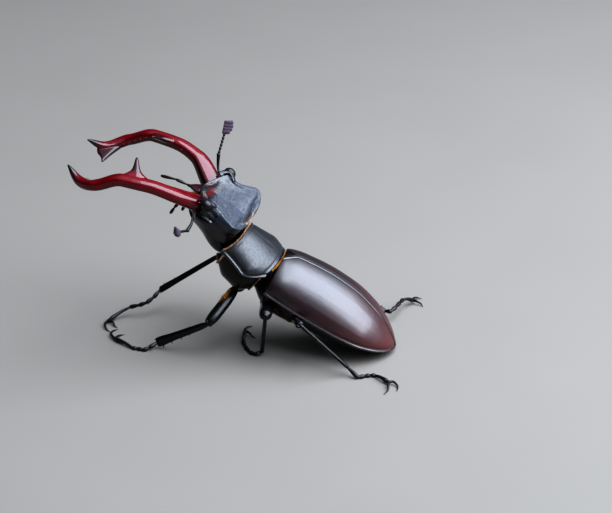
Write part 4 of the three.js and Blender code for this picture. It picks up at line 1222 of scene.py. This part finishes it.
def prothorax_hair():
    """Fringes along the pronotum's front and rear, and the collars below them."""
    share, s = rng.uniform(-0.95, 0.95, 1300), rng.uniform(0, 0.012, 1300)
    roots = pronotum_at(s, share) - 0.22 * fore.up
    ways = fore.forward + 0.05 * fore.up + 0.12 * share[:, None] * fore.left
    spots = np.stack([(share + 1) / 2, s], -1)
    hairs("fringe_front", roots, ways, 0.6, 0.032, spots, PEACH_HAIR)

    share, s = rng.uniform(-0.62, 0.62, 1100), rng.uniform(0.975, 0.995, 1100)
    roots = pronotum_at(s, share) - 0.3 * fore.up
    ways = -fore.forward - 0.2 * fore.up
    spots = np.stack([(share + 1) / 2, s], -1)
    hairs("fringe_rear", roots, ways, 0.45 + 0.75 * bell(share, 0, 0.5), 0.035, spots, GOLD_HAIR)

    for name, back, reach, finish, way in (
        ("collar_front", -0.1, (-80, -2), GOLD_HAIR, 1),
        ("collar_rear", 8.35, (-70, 25), RUST_HAIR, -1),
    ):
        turn = np.radians(rng.uniform(*reach, 900))
        hand = either_hand(900)
        wide = pronotum_width(back / PRONOTUM_LENGTH) * PRONOTUM_HALF_WIDTH * 0.94
        middle = PROSTERNUM_SIDE + margin_rise(back / PRONOTUM_LENGTH)
        tall = np.where(turn < 0, middle - prosternum_depth(back), PROSTERNUM_ROOF - middle)
        rise = middle + tall * rounded(np.sin(turn), 0.9)
        roots = fore.at(PRONOTUM_LENGTH - back, hand * wide * np.cos(turn) ** 0.9, rise)
        hairs(name, roots, way * fore.forward, 0.45, 0.03, wrap(roots, fore, -2, 14), finish)


def body_hair():
    """Down under the hind body and a bright patch on each front thigh."""
    roots, normal = rooted_on("metasternum_shell", 3200, lambda p, n: (n @ hind.up < 0.1) * 1.0)
    ways = -hind.forward + 0.35 * normal
    hairs("belly_down", roots, ways, 0.8, 0.02, wrap(roots, hind, -9, 11), RUST_HAIR)

    for name in ("front_left", "front_right"):
        hip, bend = hip_and_knee(name)
        way = unit(bend - hip)

        def patch(p, n, hip=hip, way=way):
            return bell((p - hip) @ way, 3.4, 1.5) * ((n @ np.array([0, -1.0, 0.2])) > 0.35)

        roots, normal = rooted_on(f"femur_shell_{name}", 420, patch)
        spots = wrap(roots, fore, -20, 30)
        hairs(f"thigh_patch_{name}", roots, way + 0.3 * normal, 0.7, 0.028, spots, GOLD_HAIR)


def head_hair():
    """Down on the disc, then tufts on the brow, in the notch behind and at the mouth."""

    def disc(p, n):
        f, _, u = place_in(p, head)
        return (n @ head.up > 0.6) * (u > -0.4) * (np.abs(f + 1.2) < 4.4)

    def tuft(name, roots, ways, length, width, finish, spread=0.25):
        hairs(name, roots, ways, length, width, wrap(roots, head, -7, 15), finish, spread=spread)

    roots, normal = rooted_on("head_shell", 4500, disc)
    tuft("disc_down", roots, head.forward + 0.35 * normal, 0.75, 0.013, GREY_HAIR, 0.5)

    place, hand = rng.uniform(0, 1, 340), either_hand(340)
    roots = head.at(6.3 - 1.5 * place, hand * (1.4 + 2.6 * place), -0.75 + 0.75 * place)
    ways = -head.forward + 0.5 * head.up + 0.4 * hand[:, None] * head.left
    tuft("brow_hair", roots, ways, 0.9, 0.022, PALE_HAIR, 0.4)

    place = rng.uniform(-1, 1, 260)
    roots = head.at(-5.6 + 0.4 * place**2, 2.8 * place, 0.4 - 1.2 * rng.uniform(0, 1, 260) ** 2)
    tuft("notch_tuft", roots, -head.forward + 0.3 * head.up, 0.7, 0.025, PALE_HAIR)

    place = rng.uniform(-1, 1, 360)
    ahead = 6.4 + rng.uniform(0, 0.4, 360)
    roots = head.at(ahead, 2.4 * place, -3.4 - 1.2 * rng.uniform(0, 1, 360))
    ways = head.forward - 0.5 * head.up + 0.5 * place[:, None] * head.left
    tuft("mouth_brush", roots, ways, 1.4, 0.03, GOLD_HAIR)


def foot_hair():
    """A few hairs under the end of each foot segment, kept clear of the floor."""
    for name, parts in LEGS.items():
        joints = np.array([parts[1], *parts[2]], float)
        roots, ways, spots = [], [], []
        for i in range(4):
            a, b = joints[i], joints[i + 1]
            share = rng.uniform(0.62, 0.98, 36)
            turn = rng.uniform(np.pi * 1.1, np.pi * 1.9, 36)
            along = unit(b - a)
            side = unit(np.cross(along, (0, 0, 1)))
            around = side * np.cos(turn)[:, None] + np.cross(side, along) * np.sin(turn)[:, None]
            roots.append(a + (b - a) * share[:, None] + 0.33 * around)
            ways.append(along + 0.55 * around)
            spots.append(np.stack([(i + share) / 5, turn / (2 * np.pi)], -1))
        roots, ways, spots = np.vstack(roots), np.vstack(ways), np.vstack(spots)
        roots[:, 2] = np.maximum(roots[:, 2], 0.25)
        ways[:, 2] = np.where(roots[:, 2] < 0.7, np.maximum(ways[:, 2], 0), ways[:, 2])
        hairs(f"foot_hair_{name}", roots, ways, 0.5, 0.022, spots, RUST_HAIR, droop=0, spread=0.12)


# ---- floor, light and camera
FLOOR_HALF = 2200
LIGHT_PLACE = (-10, 270, 372)
LIGHT_SIZE = (600, 640)
LIGHT_POWER = 7.9
LIGHT_AIM = (0, 0, 20)
# The part of the sky that is bright, and how its strength climbs from the dark side to there.
SKY_MIDDLE = (0.10, 0.48, 0.87)
SKY_RAMP = (("From Min", 0.15), ("From Max", 1.0), ("To Min", 0.04), ("To Max", 1.2))
DAYLIGHT = (0.78, 0.87, 1.0)
CAMERA_PLACE = (372.58, 83.76, 195.62)
CAMERA_TURN = (65.115, 0.0, 100.657)
CAMERA_LENS = 111.76
CAMERA_SENSOR = 36


def floor():
    """A plain pale sheet under the feet."""
    half = FLOOR_HALF * MM
    corners = [(-half, -half, 0), (half, -half, 0), (half, half, 0), (-half, half, 0)]
    mesh = bpy.data.meshes.new("floor")
    mesh.from_pydata(corners, [], [(0, 1, 2, 3)])
    f = Finish("floor", roughness=0.8)
    f.colour_from(f.mix(f.noise(0.02, 3), (0.165, 0.149, 0.13), (0.18, 0.162, 0.142)))
    mesh.materials.append(f.material)
    link("floor", mesh)


def softbox():
    """One broad lamp, turned towards the beetle."""
    light = bpy.data.lights.new("overhead_light", "AREA")
    light.shape = "RECTANGLE"
    light.size, light.size_y = (side * MM for side in LIGHT_SIZE)
    light.energy = LIGHT_POWER
    light.color = DAYLIGHT
    thing = link("overhead_light", light)
    thing.location = np.array(LIGHT_PLACE) * MM
    away = unit(np.subtract(LIGHT_PLACE, LIGHT_AIM))
    thing.rotation_euler = (np.arccos(away[2]), 0, np.arctan2(away[1], away[0]) + np.pi / 2)


def sky():
    """Soft daylight, brightest round one direction."""
    world = bpy.data.worlds.new("world")
    bpy.context.scene.world = world
    world.use_nodes = True
    tree = world.node_tree
    way = tree.nodes.new("ShaderNodeTexCoord")
    toward = tree.nodes.new("ShaderNodeVectorMath")
    toward.operation = "DOT_PRODUCT"
    toward.inputs[1].default_value = unit(np.array(SKY_MIDDLE))
    ramp = tree.nodes.new("ShaderNodeMapRange")
    ramp.interpolation_type = "SMOOTHSTEP"
    for key, value in SKY_RAMP:
        ramp.inputs[key].default_value = value
    background = tree.nodes["Background"]
    background.inputs["Color"].default_value = colour(DAYLIGHT)
    tree.links.new(way.outputs["Generated"], toward.inputs[0])
    tree.links.new(toward.outputs["Value"], ramp.inputs["Value"])
    tree.links.new(ramp.outputs["Result"], background.inputs["Strength"])


def camera():
    """The photograph's point of view, and how light becomes picture."""
    scene = bpy.context.scene
    scene.view_settings.view_transform = "Standard"
    scene.view_settings.look = "High Contrast"
    lens = bpy.data.cameras.new("camera")
    lens.sensor_fit = "HORIZONTAL"
    lens.sensor_width = CAMERA_SENSOR
    lens.lens = CAMERA_LENS
    lens.clip_start, lens.clip_end = 0.01, 20
    thing = link("camera", lens)
    thing.location = np.array(CAMERA_PLACE) * MM
    thing.rotation_euler = np.radians(CAMERA_TURN)
    scene.camera = thing


for hand, way in SIDES:
    elytron(hand, way)
scutellum()
underside()
pronotum()
prosternum()
head_piece()
eyes()
mouth()
palps()
feelers()
mandibles()
for leg_name in LEGS:
    leg(leg_name)
prothorax_hair()
body_hair()
head_hair()
foot_hair()
floor()
softbox()
sky()
camera()
